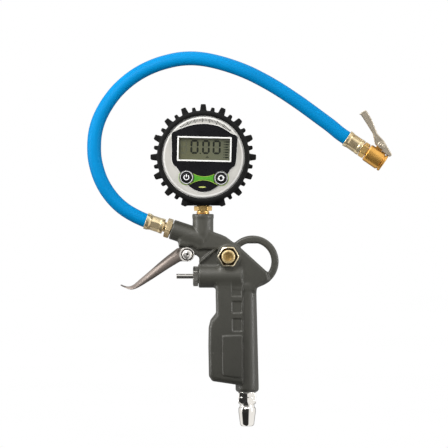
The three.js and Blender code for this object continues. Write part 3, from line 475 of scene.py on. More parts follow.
# key: name, colour, lighter colour, grain scale, roughness range, bump (m), specular,
#      scale of the broad patches where it isn't the usual one
PLASTICS = {
    "black_plastic": ("black_plastic", (0.014, 0.014, 0.016), (0.026, 0.026, 0.028),
                      1500, (0.36, 0.5), 6e-5, 0.4),
    "door_plastic": ("door_plastic", (0.013, 0.013, 0.015), (0.024, 0.024, 0.026),
                     1900, (0.42, 0.55), 8e-5, 0.4),
    "panel": ("face_black", (0.0030, 0.0030, 0.0040), (0.006, 0.006, 0.008),
              1200, (0.24, 0.34), 1e-5, 0.25),
    "trim": ("trim_grey", (0.020, 0.020, 0.021), (0.040, 0.040, 0.040),
             1500, (0.28, 0.40), 3e-5, 0.5),
    # a pale sheet round the black panel's edge, a painted highlight on that edge
    "edge_silver": ("edge_silver", (0.74, 0.735, 0.71), (0.82, 0.815, 0.79),
                    1500, (0.34, 0.46), 2e-5, 0.4),
    "white": ("white_frame", (0.82, 0.82, 0.80), (0.88, 0.88, 0.87),
              1500, (0.38, 0.5), 2e-5, 0.4),
    "green": ("face_green", (0.045, 0.27, 0.010), (0.090, 0.36, 0.022),
              900, (0.36, 0.46), 2e-5, 0.30, 160),
    "lime": ("face_lime", (0.26, 0.48, 0.04), (0.36, 0.56, 0.08),
             900, (0.32, 0.42), 2e-5, 0.3),
    "yellow": ("face_yellow_green", (0.40, 0.44, 0.09), (0.50, 0.55, 0.15),
               900, (0.3, 0.4), 2e-5, 0.35),
    "ink": ("ink_grey", (0.022, 0.022, 0.022), (0.045, 0.045, 0.045),
            1400, (0.45, 0.55), 2e-5, 0.3),
    "icon": ("icon_white", (0.90, 0.91, 0.93), (0.96, 0.97, 0.98),
             1400, (0.4, 0.5), 2e-5, 0.3),
    "digit": ("lcd_segments", (0.006, 0.007, 0.005), (0.012, 0.013, 0.010),
              1400, (0.35, 0.45), 1e-5, 0.3),
    "ghost": ("lcd_idle_segments", (0.125, 0.122, 0.088), (0.135, 0.132, 0.096),
              1400, (0.35, 0.45), 1e-5, 0.3),
    "ribbon": ("ribbon_amber", (0.45, 0.20, 0.03), (0.60, 0.30, 0.06),
               1200, (0.25, 0.35), 3e-5, 0.5),
    "zebra": ("zebra_pink", (0.62, 0.33, 0.38), (0.70, 0.42, 0.46),
              1200, (0.5, 0.6), 5e-5, 0.5),
    "switch": ("switch_black", (0.02, 0.02, 0.02), (0.05, 0.05, 0.05),
               1200, (0.4, 0.5), 3e-5, 0.5),
}
MATERIALS = {
    "cast_paint": painted_casting(),
    "trigger": trigger_material(),
    "pin": pin_material(),
    "bleed_hex": bleed_hex_material(),
    "brass_button": button_material(),
    "hose": hose_material(),
    "silver": silver_face(),
    "lcd": lcd_material(),
    "lens": lens_material(),
    "pcb": board_material(),
    "wrap": cell_wrap(),
}
for make, table in ((metal, METALS), (rubber, RUBBERS), (plastic, PLASTICS)):
    for key, row in table.items():
        MATERIALS[key] = make(*row)


# ------------------------------------------------------------------ meshes and pieces
def raw_mesh(name, verts, faces):
    mesh = bpy.data.meshes.new(name)
    points = (np.asarray(verts, float) * MM).tolist()
    mesh.from_pydata(points, [], [list(map(int, face)) for face in faces])
    mesh.validate()
    return mesh


def turn_outwards(mesh):
    bm = bmesh.new()
    bm.from_mesh(mesh)
    bmesh.ops.recalc_face_normals(bm, faces=bm.faces)
    bm.to_mesh(mesh)
    bm.free()


def solid_mesh(name, data):
    mesh = raw_mesh(name, *data)
    turn_outwards(mesh)
    return mesh


def add_object(name, data):
    ob = bpy.data.objects.new(name, data)
    bpy.context.scene.collection.objects.link(ob)
    return ob


def piece(name, data, material, body, replaces="", angle=34):
    """A finished piece, from (verts, faces) or a mesh, that rides on a body.
    replaces holds the CAD names it stands for, parted by spaces; edges past angle are sharp."""
    mesh = solid_mesh(name, data) if isinstance(data, tuple) else data
    mesh.name = name
    mesh.shade_smooth()
    mesh.set_sharp_from_angle(angle=rad(angle))
    ob = add_object(name, mesh)
    mesh.materials.clear()
    mesh.materials.append(MATERIALS[material])
    if body is not None:
        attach(ob, body)
    if replaces:
        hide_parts(*replaces.split())
    return ob


def join(*parts):
    """Several (verts, faces) as one."""
    verts, faces, count = [], [], 0
    for points, part_faces in parts:
        verts.append(np.asarray(points, float))
        faces += [[i + count for i in face] for face in part_faces]
        count += len(points)
    return np.vstack(verts), faces


CUT, ADD = "DIFFERENCE", "UNION"


def boolean(base, *stages):
    """A mesh from base (verts, faces), changed by stages of (operation, tools) in turn."""
    body = add_object("tmp", solid_mesh("tmp", base))
    made = [body]
    for operation, tools in stages:
        for tool in tools:
            made.append(add_object("tmp", solid_mesh("tmp", tool)))
            modifier = body.modifiers.new("b", "BOOLEAN")
            modifier.operation = operation
            modifier.solver = "EXACT"
            modifier.object = made[-1]
    bpy.context.view_layer.update()
    graph = bpy.context.evaluated_depsgraph_get()
    mesh = bpy.data.meshes.new_from_object(body.evaluated_get(graph))
    for ob in made:
        old = ob.data
        bpy.data.objects.remove(ob)
        bpy.data.meshes.remove(old)
    bm = bmesh.new()
    bm.from_mesh(mesh)
    bmesh.ops.remove_doubles(bm, verts=bm.verts, dist=2e-7)
    bmesh.ops.dissolve_degenerate(bm, edges=bm.edges, dist=1e-7)
    bm.to_mesh(mesh)
    bm.free()
    turn_outwards(mesh)
    return mesh


# ------------------------------------------------------------------ lines
def fillet(points, radius=0.0, closed=False, steps=5):
    """Rounds the corners of a line; a point may carry its own radius as a third number."""
    count = len(points)
    out = []
    for i, point in enumerate(points):
        size = point[2] if len(point) > 2 else radius
        corner = np.array(point[:2], float)
        back = np.array(points[i - 1][:2], float) - corner
        ahead = np.array(points[(i + 1) % count][:2], float) - corner
        back_length, ahead_length = np.linalg.norm(back), np.linalg.norm(ahead)
        end = not closed and i in (0, count - 1)
        if end or size <= 0 or back_length < 1e-9 or ahead_length < 1e-9:
            out.append(tuple(point[:2]))
            continue
        back, ahead = back / back_length, ahead / ahead_length
        half = math.acos(float(np.clip(back @ ahead, -1, 1))) / 2
        if half > rad(88.5) or half < rad(2):
            out.append(tuple(point[:2]))
            continue
        reach = min(size / math.tan(half), 0.48 * back_length, 0.48 * ahead_length)
        size = reach * math.tan(half)
        middle = back + ahead
        middle /= np.linalg.norm(middle)
        centre = corner + middle * (size / math.sin(half))
        first, last = corner + back * reach - centre, corner + ahead * reach - centre
        start = math.atan2(first[1], first[0])
        turn = math.atan2(last[1], last[0]) - start
        turn = (turn + math.pi) % (2 * math.pi) - math.pi
        for k in range(steps + 1):
            angle = start + turn * k / steps
            out.append((centre[0] + size * math.cos(angle), centre[1] + size * math.sin(angle)))
    return out


def fillet_loop(points, radius=0.0, steps=5):
    return fillet(points, radius, True, steps)


def rectangle(x0, x1, z0, z1):
    return [(x0, z0), (x1, z0), (x1, z1), (x0, z1)]


def arc(centre, radius, start, end, count):
    angles = [rad(start + (end - start) * k / count) for k in range(count + 1)]
    return [(centre[0] + radius * math.cos(a), centre[1] + radius * math.sin(a)) for a in angles]


def smooth_curve(points, per=6):
    """Centripetal Catmull-Rom through points, with per steps to a span."""
    line = [np.array(p[:2], float) for p in points]
    padded = [2 * line[0] - line[1], *line, 2 * line[-1] - line[-2]]
    out = []
    for i in range(len(line) - 1):
        near = padded[i:i + 4]
        knots = [0.0]
        for k in range(3):
            knots.append(knots[-1] + max(np.linalg.norm(near[k + 1] - near[k]), 1e-6) ** 0.5)
        for k in range(per):
            now = knots[1] + (knots[2] - knots[1]) * k / per

            def between(first, last, a, b):
                start, end = knots[first], knots[last]
                return (end - now) / (end - start) * a + (now - start) / (end - start) * b

            a1, a2, a3 = (between(j, j + 1, near[j], near[j + 1]) for j in range(3))
            b1, b2 = between(0, 2, a1, a2), between(1, 3, a2, a3)
            out.append(tuple(between(1, 2, b1, b2)))
    out.append(tuple(line[-1]))
    return out


def directions(points):
    """Unit directions along a line of points."""
    out = np.gradient(points, axis=0)
    out /= np.linalg.norm(out, axis=1)[:, None]
    return out


def dense(profile, step):
    """Adds points so that no span along a profile is longer than step."""
    out = [profile[0]]
    for a, b in zip(profile[:-1], profile[1:]):
        count = max(1, int(math.ceil(math.hypot(b[0] - a[0], b[1] - a[1]) / step)))
        for k in range(1, count + 1):
            out.append((a[0] + (b[0] - a[0]) * k / count, a[1] + (b[1] - a[1]) * k / count))
    return out


def dense_loop(profile, step):
    return dense(profile + [profile[0]], step)[:-1]


def thread(start, end, crest, root, flank):
    """Profile (t, radius) of a thread; flank is where the root begins in each turn."""
    out = []
    while start < end:
        out += [(start, crest), (start + 0.3, crest), (start + flank, root), (start + 0.75, root)]
        start += 1.05
    return out


def helix(r0, r1, length, turns, per, ends=0.0):
    """A spring's line along x, of per points to a turn. ends is the share of a turn at each
    end that lies almost flat."""
    flat = 0.12
    end = ends / turns
    count = int(turns * per)
    out = []
    for i in range(count + 1):
        share = i / count
        angle = share * turns * 2 * math.pi
        along = share
        if ends > 0:
            if share < end:
                along = flat * share
            elif share > 1 - end:
                along = 1 - flat * (1 - share)
            else:
                along = flat * end + (1 - 2 * flat * end) * (share - end) / (1 - 2 * end)
        radius = r0 + (r1 - r0) * share
        out.append((length * along, radius * math.cos(angle), radius * math.sin(angle)))
    return out


# ------------------------------------------------------------------ solids as (verts, faces)
def volume(verts, faces):
    """Six times the enclosed volume, negative where the faces point inwards."""
    total = 0.0
    for face in faces:
        for i in range(1, len(face) - 1):
            total += float(verts[face[0]] @ np.cross(verts[face[i]], verts[face[i + 1]]))
    return total


def lathe(profile, place=WORLD, along="x", seg=96, closed=False, hexagon=None, phase=0.0,
          at=(0, 0, 0), warp=None):
    """Turns a profile [(t, radius), ...] about the local axis along.
    hexagon is (t start, t end, across flats), and phase the angle of its corner from the
    next axis. warp(t, angles, radii) may reshape a ring."""
    angles = 2 * math.pi * np.arange(seg) / seg
    verts, rings = [], []
    for t, radius in profile:
        if radius < 1e-6:
            rings.append([len(verts)])
            verts.append([t, 0, 0])
            continue
        radii = np.full(seg, float(radius))
        if hexagon and hexagon[0] - 1e-6 <= t <= hexagon[1] + 1e-6:
            flats = hexagon[2]
            off = np.mod(angles - rad(phase), rad(60)) - rad(30)
            radii = np.minimum(radii, flats / 2 / np.cos(off))
            radii = np.minimum(radii, flats / math.sqrt(3) - 0.12)
        if warp is not None:
            radii = warp(t, angles, radii)
        rings.append(list(range(len(verts), len(verts) + seg)))
        ring = [np.full(seg, float(t)), radii * np.cos(angles), radii * np.sin(angles)]
        verts += np.stack(ring, 1).tolist()
    faces = []
    pairs = list(zip(rings[:-1], rings[1:]))
    if closed:
        pairs.append((rings[-1], rings[0]))
    for a, b in pairs:
        if len(a) == 1 and len(b) == 1:
            continue
        for i in range(seg):
            j = (i + 1) % seg
            if len(a) == 1:
                faces.append([a[0], b[i], b[j]])
            elif len(b) == 1:
                faces.append([a[i], b[0], a[j]])
            else:
                faces.append([a[i], b[i], b[j], a[j]])
    verts = np.roll(np.array(verts, float), "xyz".index(along), axis=1) + np.array(at, float)
    if volume(verts, faces) < 0:
        faces = [face[::-1] for face in faces]
    return place(verts), faces


def cylinder(x, z, y0, y1, radius, seg, place):
    return lathe([(y0, 0), (y0, radius), (y1, radius), (y1, 0)], place, "y", seg, at=(x, 0, z))


def box(x0, x1, y0, y1, z0, z1, place):
    points = [(x, y, z) for x in (x0, x1) for y in (y0, y1) for z in (z0, z1)]
    faces = [[0, 1, 3, 2], [4, 6, 7, 5], [0, 4, 5, 1], [2, 3, 7, 6], [0, 2, 6, 4], [1, 5, 7, 3]]
    return place(points), faces


def area(loop):
    return 0.5 * sum(a[0] * b[1] - b[0] * a[1] for a, b in zip(loop, loop[1:] + loop[:1]))


def inset_loop(loop, distance):
    """Moves a loop towards its left side."""
    points = np.array(loop, float)
    normals = []
    for side in (points - np.roll(points, 1, 0), np.roll(points, -1, 0) - points):
        side /= np.maximum(np.linalg.norm(side, axis=1), 1e-9)[:, None]
        normals.append(np.stack([-side[:, 1], side[:, 0]], 1))
    middle = normals[0] + normals[1]
    middle /= np.maximum(np.linalg.norm(middle, axis=1), 1e-6)[:, None]
    reach = distance / np.maximum((middle * normals[0]).sum(1), 0.35)
    return (points + middle * reach[:, None]).tolist()


def slab(outline, y0, y1, place=WORLD, bevel=0.0, holes=(), bevel_back=None):
    """A plate with its outline in the local x-z plane, front y0 and back y1."""
    back = bevel if bevel_back is None else bevel_back
    loops = [[(p[0], p[1]) for p in loop] for loop in (outline, *holes)]
    for i, loop in enumerate(loops):
        if area(loop) * (-1 if i else 1) < 0:
            loop.reverse()
    levels = [(y0 + bevel, 0.0), (y1 - back, 0.0)]
    if bevel > 0:
        levels.insert(0, (y0, bevel))
    if back > 0:
        levels.append((y1, back))
    verts, faces, caps = [], [], {0: [], len(levels) - 1: []}
    for loop in loops:
        rows = []
        for k, (y, inset) in enumerate(levels):
            points = inset_loop(loop, inset) if inset > 0 else loop
            rows.append(list(range(len(verts), len(verts) + len(points))))
            verts += [(x, y, z) for x, z in points]
            if k in caps:
                caps[k].append((rows[-1], points))
        for row, after in zip(rows[:-1], rows[1:]):
            for i in range(len(loop)):
                j = (i + 1) % len(loop)
                faces.append([row[i], row[j], after[j], after[i]])
    for group in caps.values():
        index = [i for ids, _ in group for i in ids]
        flat = [[Vector((x, z, 0)) for x, z in points] for _, points in group]
        faces += [[index[t] for t in face] for face in tessellate_polygon(flat)]
    return place(np.array(verts)), faces


def tube(path, radius, sides=12, place=WORLD):
    """A round bar along a 3-D path, with pointed ends."""
    path = np.array(path, float)
    ways = directions(path)
    across = np.cross(ways[0], [0, 1, 0.0] if abs(ways[0][1]) < 0.9 else [1, 0, 0.0])
    across /= np.linalg.norm(across)
    verts, rings = [], []
    for point, way in zip(path, ways):
        across = across - way * (across @ way)
        across /= np.linalg.norm(across)
        other = np.cross(way, across)
        rings.append(list(range(len(verts), len(verts) + sides)))
        for k in range(sides):
            a = 2 * math.pi * k / sides
            verts.append(point + (across * math.cos(a) + other * math.sin(a)) * radius)
    faces = []
    for a, b in zip(rings[:-1], rings[1:]):
        for i in range(sides):
            j = (i + 1) % sides
            faces.append([a[i], b[i], b[j], a[j]])
    verts.append(path[0] - ways[0] * radius * 0.5)
    verts.append(path[-1] + ways[-1] * radius * 0.5)
    start, end = len(verts) - 2, len(verts) - 1
    for i in range(sides):
        j = (i + 1) % sides
        faces.append([start, rings[0][i], rings[0][j]])
        faces.append([end, rings[-1][j], rings[-1][i]])
    return place(np.array(verts)), faces


# ------------------------------------------------------------------ distance fields
# A field is the signed distance to a solid over a grid, negative inside.
CORNERS = [(i, j, k) for i in (0, 1) for j in (0, 1) for k in (0, 1)]


def polygon_distance(across, up, points):
    """Signed distance to a closed polygon in the plane of two coordinates."""
    points = np.array(points, np.float32)
    shape = np.broadcast(across, up).shape
    best = np.full(shape, 1e9, np.float32)
    inside = np.zeros(shape, bool)
    for i, a in enumerate(points):
        b = points[i - 1]
        side_x, side_z = float(b[0] - a[0]), float(b[1] - a[1])
        square = side_x * side_x + side_z * side_z
        if square < 1e-10:
            continue
        from_x, from_z = across - a[0], up - a[1]
        t = np.clip((from_x * side_x + from_z * side_z) / square, 0, 1)
        best = np.minimum(best, (from_x - side_x * t) ** 2 + (from_z - side_z * t) ** 2)
        above, below = up >= a[1], up < b[1]
        left = side_x * from_z > side_z * from_x
        inside ^= (above & below & left) | (~above & ~below & ~left)
    return np.where(inside, -1, 1).astype(np.float32) * np.sqrt(best)


def rounded(first, second, radius):
    """The solid inside both fields, with the edge between them rounded."""
    a, b = first + radius, second + radius
    return np.minimum(np.maximum(a, b), 0) + np.hypot(np.maximum(a, 0), np.maximum(b, 0)) - radius


def union(a, b, blend):
    share = np.maximum(blend - np.abs(a - b), 0) / blend
    return np.minimum(a, b) - share * share * blend * 0.25


def common(a, b, blend):
    return -union(-a, -b, blend)


def cut(field, tool, blend=0.0):
    return common(field, -tool, blend) if blend else np.maximum(field, -tool)


def step_in(field, width):
    """1 well inside, 0 outside, smooth over width."""
    t = np.clip(0.5 - field / width, 0, 1)
    return t * t * (3 - 2 * t)


class Grid:
    """A box of sample points from low to high."""

    def __init__(self, low, high, step):
        self.low, self.step = np.array(low, float), step
        self.count = [int(math.ceil((b - a) / step)) + 1 for a, b in zip(low, high)]
        lines = [(low[i] + step * np.arange(self.count[i])).astype(np.float32) for i in range(3)]
        self.x = lines[0][:, None, None]
        self.y = lines[1][None, :, None]
        self.z = lines[2][None, None, :]
        self.side = np.abs(self.y)          # distance from the middle plane

    def outline(self, points):
        return polygon_distance(self.x, self.z, points)

    def radius(self, centre=(0.0, 0.0)):
        return np.hypot(self.x - centre[0], self.z - centre[1])

    def revolved(self, profile):
        """profile is [(radius, y), ...], turned about the y axis."""
        return polygon_distance(self.radius(), self.y, profile)

    def plate(self, points, half, edge, centre=0.0):
        return rounded(self.outline(points), np.abs(self.y - centre) - half, edge)

    def rod(self, a, b, radius, edge=0.3):
        """A round bar from a to b."""
        a, b = np.array(a, float), np.array(b, float)
        length = np.linalg.norm(b - a)
        d = (b - a) / length
        t = (self.x - a[0]) * d[0] + (self.y - a[1]) * d[1] + (self.z - a[2]) * d[2]
        off = ((self.x - a[0] - d[0] * t) ** 2 + (self.y - a[1] - d[1] * t) ** 2
               + (self.z - a[2] - d[2] * t) ** 2)
        return rounded(np.sqrt(off) - radius, np.abs(t - length / 2) - length / 2, edge)

    def mesh(self, field, place=WORLD):
        """The zero surface as surface nets, each point then pulled once towards it."""
        field = np.ascontiguousarray(np.broadcast_to(field, self.count), dtype=np.float32)
        field = np.where(field == 0, np.float32(1e-6), field)
        inside = field < 0
        cells = [n - 1 for n in self.count]
        filled = np.zeros(cells, np.int8)
        for corner in CORNERS:
            filled += inside[tuple(slice(c, n + c) for c, n in zip(corner, cells))]
        active = (filled > 0) & (filled < 8)
        cells = np.argwhere(active)
        index = np.full(active.shape, -1, np.int64)
        index[active] = np.arange(len(cells))

        total = np.zeros((len(cells), 3))
        hits = np.zeros(len(cells))
        for start in CORNERS:
            for axis in range(3):
                if start[axis] == 1:
                    continue
                end = list(start)
                end[axis] = 1
                first = field[tuple((cells + start).T)].astype(float)
                last = field[tuple((cells + end).T)].astype(float)
                cross = (first < 0) != (last < 0)
                point = np.tile(np.array(start, float), (len(cells), 1))
                point[:, axis] += np.where(cross, first / np.where(cross, first - last, 1), 0)
                total += point * cross[:, None]
                hits += cross
        points = cells + total / hits[:, None]

        base = np.clip(points.astype(int), 0, np.array(self.count) - 2)
        part = points - base
        height = np.zeros(len(points))
        slope = np.zeros((len(points), 3))
        for corner in CORNERS:
            value = field[tuple((base + corner).T)].astype(float)
            weight = np.where(corner, part, 1 - part)
            height += value * weight[:, 0] * weight[:, 1] * weight[:, 2]
            for axis in range(3):
                j, k = (other for other in range(3) if other != axis)
                sign = 1 if corner[axis] else -1
                slope[:, axis] += value * sign * weight[:, j] * weight[:, k]
        move = -slope * (height / np.maximum((slope ** 2).sum(1), 1e-6))[:, None]
        length = np.linalg.norm(move, axis=1)
        move *= np.minimum(1, 0.35 / np.maximum(length, 1e-9))[:, None]
        points = points + move

        quads = []
        for axis in range(3):
            j, k = (axis + 1) % 3, (axis + 2) % 3
            low, high = [slice(None)] * 3, [slice(None)] * 3
            low[axis], high[axis] = slice(0, -1), slice(1, None)
            edges = np.argwhere(inside[tuple(low)] != inside[tuple(high)])
            keep = ((edges[:, j] > 0) & (edges[:, k] > 0)
                    & (edges[:, j] < self.count[j] - 1) & (edges[:, k] < self.count[k] - 1))
            edges = edges[keep]
            u, w = np.zeros(3, int), np.zeros(3, int)
            u[j], w[k] = 1, 1
            around = (edges - u - w, edges - w, edges, edges - u)
            quad = np.stack([index[tuple(cell.T)] for cell in around], 1)
            flip = ~inside[tuple(edges.T)]
            quad[flip] = quad[flip][:, ::-1]
            quads.append(quad)
        mesh = bpy.data.meshes.new("net")
        mesh.from_pydata(place(self.low + points * self.step) * MM, [], np.vstack(quads))
        mesh.validate()
        return mesh


# ------------------------------------------------------------------ cast gun body
EYE = (10.8, 131.6)                 # middle of the hanging eye
EYE_OUTER, EYE_HOLE = 20.8, 15.0
EYE_LAND = EYE_HOLE - 0.6           # height of the flat at the top of the hole
EYE_CHORD = ((0.8, 142.8), (22.4, 123.4))       # straight lower side of the hole

# outlines (x, z[, corner radius])
GRIP = [
    (-18.8, 116, 0), (-18.8, 106, 8), (-18.5, 90.6, 3.0), (-22.9, 84.9, 2.6), (-24.4, 79, 10),
    (-24.6, 64.4, 20), (-24.2, 40.2, 3.4), (-21.5, 36.2, 3.0), (-4.2, 33.6, 1.6),
    (7.5, 31.9, 0.5), (8.0, 114, 0), (4, 117.5, 0), (-10, 117.5, 0),
]
GRIP_PANEL = [(-13.4, 72.4), (-13.0, 41.0), (-3.6, 39.6), (2.6, 39.0), (2.6, 72.8)]
GRIP_RECESSES = [                   # x from, x to, z from, z to
    (-6.3, 1.9, 103.9, 117.5), (-5.9, 2.1, 90.6, 99.9), (-5.5, 2.2, 76.0, 86.1),
]
UPPER_BODY = [
    (-48.4, 148.5), (-48.2, 143.8), (-37.0, 143.8, 3), (-33.5, 141.2, 2), (-15.8, 141.2, 2.4),
    (-15.8, 128.0, 2), (-18.0, 110.0, 0), (13.1, 107.0, 0), (14.2, 110.4, 3), (18.4, 114.3, 4),
    (24.2, 116.4, 1.6), (22.6, 123.3, 0.8), (0.9, 142.7, 3), (-5.6, 147.7, 8),
    (-10.4, 151.4, 6), (-14.4, 153.2, 6), (-19.6, 155.0, 4), (-24.0, 157.0, 2),
    (-44.0, 154.0, 2),
]
TRIGGER_WEB = [
    (-48.3, 147.5, 1), (-48.0, 141.2, 2), (-46.6, 136.9, 4.6), (-45.6, 133.2, 4.4),
    (-41.4, 131.6, 4.6), (-37.2, 133.4, 4.4), (-36.2, 137.0, 1.6), (-34.2, 136.6, 1.4),
    (-32.0, 134.8, 1.4), (-31.6, 130.8, 1), (-32.3, 128.0, 0), (-32.3, 118.0, 0),
    (-8.0, 118.0, 0), (-8.0, 148.0, 0), (-20.0, 154.0, 0), (-40.0, 156.0, 0),
]
WEB_RIB = [(-32.2, 131.6), (-31.1, 130.0), (-16.0, 142.6), (-17.4, 144.2)]
BORES = [                           # from, to, radius
    ((PIVOT[0], -12, PIVOT[1]), (PIVOT[0], 12, PIVOT[1]), 2.1),
    ((NECK_X, 0, 160), (NECK_X, 0, 173), 5.8), ((NECK_X, 0, 148), (NECK_X, 0, 161), 3.0),
    (OUTLET_AT((2, 0, 0)), OUTLET_AT((-9, 0, 0)), 5.3),
    (OUTLET_AT((1, 0, 0)), OUTLET_AT((-26.5, 0, 0)), 2.9),
    ((INLET_X, 0, 24), (INLET_X, 0, 39.6), 6.5), ((INLET_X, 0, 38), (INLET_X, 0, VALVE_Z), 4.0),
    ((-34.4, 0, VALVE_Z), (4, 0, VALVE_Z), 6.0),
    ((-16.0, 0, 122.5), (-27.6, 0, 151.5), 2.0), ((-20.4, 0, 133.4), (-8.6, 0, 135.6), 1.4),
    ((BLEED[0], -13, BLEED[1]), (BLEED[0], 6.3, BLEED[1]), 6.0),
]


def hand_grip(grid):
    """The grip block, its thickness a map of x and z, and the round column of the air
    passage, which swells down to the inlet boss."""
    thickness = 9.9 - np.clip(grid.z - 45, 0, 80) * 0.029
    thickness = thickness + 0.7 * step_in(grid.outline(fillet_loop(GRIP_PANEL, 1.2)), 0.6)
    for recess in GRIP_RECESSES:
        field = grid.outline(fillet_loop(rectangle(*recess), 0.9))
        thickness = thickness - 0.75 * step_in(field, 0.6)
    thickness = thickness - 2.6 * step_in(3.0 - grid.x, 0.9)
    block = rounded(grid.outline(fillet_loop(GRIP, 1.0)), grid.side - thickness, 3.9)
    radius = 9.3 - np.clip(grid.z - 32, 0, 90) * 0.0244
    off_axis = np.hypot(grid.x - INLET_X, grid.y)
    column = rounded(off_axis - radius, np.abs(grid.z - 71.1) - 43.9, 2.7)
    return union(block, column, 0.7)


def hanging_eye(grid):
    """The ring and its hole, an arc closed by a flat at the top and a slanting chord."""
    (chord_x, chord_z), (end_x, end_z) = EYE_CHORD
    land = EYE[1] + EYE_LAND
    half = math.sqrt(EYE_HOLE ** 2 - EYE_LAND ** 2)
    left, right = EYE[0] - half, EYE[0] + half

    def chord(x):
        return chord_z + ((x - chord_x) * (end_z - chord_z)) / (end_x - chord_x)

    rim = [(x, z) for x, z in arc(EYE, EYE_HOLE, -45, 170, 72) if chord(x) + 0.2 < z <= land]
    hole = [(21.4, chord(21.4)), (22.9, 123.3)] + [p for p in rim if p[0] > right]
    hole += [(right, land), (left, land)] + [p for p in rim if p[0] < left]
    hole = grid.outline(fillet_loop(hole, 0.8, 3))
    ring = rounded(cut(grid.radius(EYE) - EYE_OUTER, hole), grid.side - 2.95, 1.9)
    return ring, hole


def gauge_neck(grid):
    radius = (8.60 - 0.30 * step_in(grid.z - 166.2, 2.4)
              - np.clip((156.0 - grid.z) / 10.0, 0, 1.3) ** 2 * 1.7)
    off_axis = np.hypot(grid.x - NECK_X, grid.y)
    return rounded(off_axis - radius, np.abs(grid.z - 157.3) - 12.3, 0.8)


def gun_body():
    grid = Grid((-57.5, -12, 25.5), (33.5, 12, 171.5), 0.5)
    ring, hole = hanging_eye(grid)
    bleed_boss = grid.rod((BLEED[0], -7.4, BLEED[1]), (BLEED[0], 8.0, BLEED[1]), 9.4, 0.5)
    outlet_boss = grid.rod(OUTLET_AT((0, 0, 0)), OUTLET_AT((-27, 0, 0)), 8.0, 0.9)
    valve_boss = grid.rod((-32.4, 0, VALVE_Z), (2, 0, VALVE_Z), 9.2, 0.9)
    field = hand_grip(grid)
    for part, blend in (
        (grid.plate(fillet_loop(UPPER_BODY, 1.0), 7.1, 2.0), 1.4),
        (bleed_boss, 1.0),
        (grid.plate(fillet_loop(TRIGGER_WEB, 1.0), 4.25, 1.2), 1.2),
        (grid.plate(fillet_loop(WEB_RIB, 0.6), 6.6, 0.8), 0.9),
        (ring, 1.6),
        (outlet_boss, 1.6),
        (gauge_neck(grid), 0.4),
        (valve_boss, 2.2),
    ):
        field = union(field, part, blend)
    field = cut(field, hole)
    # flats on both sides of the lug, for the trigger's ears
    field = cut(field, np.maximum(grid.radius(PIVOT) - 6.4, 4.22 - grid.side), 0.3)
    for start, end, radius in BORES:
        field = cut(field, grid.rod(start, end, radius, 0.05))
    return grid.mesh(field)


piece("cast_gun_body", gun_body(), "cast_paint", "gun", "gun_body", angle=40)

# ------------------------------------------------------------------ trigger
TRIGGER_TOP = [
    (-44.0, 146.7), (-49.3, 142.5), (-61.6, 132.8), (-71.2, 124.4), (-79.2, 117.6),
    (-84.8, 112.9), (-88.0, 111.7), (-91.2, 112.0), (-94.4, 113.3),
]
TRIGGER_LOW = [
    (-95.2, 112.6), (-89.6, 110.0), (-86.4, 109.2), (-82.4, 110.0), (-71.2, 116.4),
    (-63.2, 121.6), (-55.2, 126.8), (-47.2, 131.6),
]
SHEET = 1.5                         # thickness of the stamped sheet


def trigger():
    """A channel open below, with two ears round the pivot."""
    top = smooth_curve(TRIGGER_TOP, 6)
    flange = top[6:] + smooth_curve(TRIGGER_LOW, 5)
    flange += [(-43.4, 132.0), (-38.4, 136.0), (-41.4, 142.4), (-46.0, 141.9)]
    ways = directions(np.array(top))
    inner_top = (np.array(top) + np.stack([-ways[:, 1], ways[:, 0]], 1) * SHEET).tolist()
    grid = Grid((-97, -7, 106), (-34, 7, 146), 0.3)
    outer = grid.plate(top + [(-100, 108), (-100, 92), (-44, 92)], 6.0, 4.4)
    inner = grid.plate(inner_top + [(-104, 108), (-104, 90), (-40, 90)], 4.5, 3.0)
    flange = grid.outline(flange)
    channel = np.maximum(cut(outer, inner), flange - 0.02)
    channel = common(channel, grid.x + 48.9, 0.5)
    radius = grid.radius(PIVOT)
    ears = rounded(union(flange, radius - 5.6, 1.2), np.abs(grid.side - 5.25) - 0.75, 0.32)
    ears = common(ears, np.minimum(outer, -(grid.x + 50.0) * 0.8), 0.4)
    field = np.minimum(channel, ears)
    field = cut(field, np.maximum(radius - 4.85, 5.4 - grid.side), 0.15)
    return grid.mesh(cut(field, radius - 2.15))


def smooth_blade(mesh):
    """Evens out the blade but leaves the ears round the pivot crisp."""
    bm = bmesh.new()
    bm.from_mesh(mesh)
    blade = [v for v in bm.verts
             if math.hypot(v.co.x - PIVOT[0] * MM, v.co.z - PIVOT[1] * MM) > 6.2 * MM]
    for _ in range(10):
        bmesh.ops.smooth_vert(bm, verts=blade, factor=0.5,
                              use_axis_x=True, use_axis_y=True, use_axis_z=True)
    bm.to_mesh(mesh)
    bm.free()


smooth_blade(piece("stamped_trigger", trigger(), "trigger", "trigger", "trigger",
                   angle=50).data)

PIN_AT = place_at(PIVOT)
pin_profile = fillet([
    (-7.15, 0), (-7.80, 0.95), (-7.93, 1.4), (-7.84, 1.95), (-7.62, 2.7), (-7.25, 3.4),
    (-6.85, 3.85), (-6.5, 4.0), (-5.5, 4.0), (-5.45, 2.0),
], 0.18) + fillet([(-5.4, 2.0), (7.6, 2.0), (7.9, 1.7), (7.9, 0)], 0.12)
piece("trigger_pivot_pin", lathe(pin_profile, PIN_AT, "y", 96), "pin", "gun", "trigger_pin")

# the clip is open at the bottom by 70 degrees, and its inner arc stops 6 degrees short
clip_start, clip_end = 70 / 2 - 90, 270 - 70 / 2
clip = (arc((0, 0), 3.8, clip_start, clip_end, 44)
        + arc((0, 0), 2.12, clip_end - 6, clip_start + 6, 36))
piece("trigger_pin_retainer", slab(clip, 6.32, 7.1, PIN_AT, 0.12), "spring", "gun",
      "trigger_pin_clip")

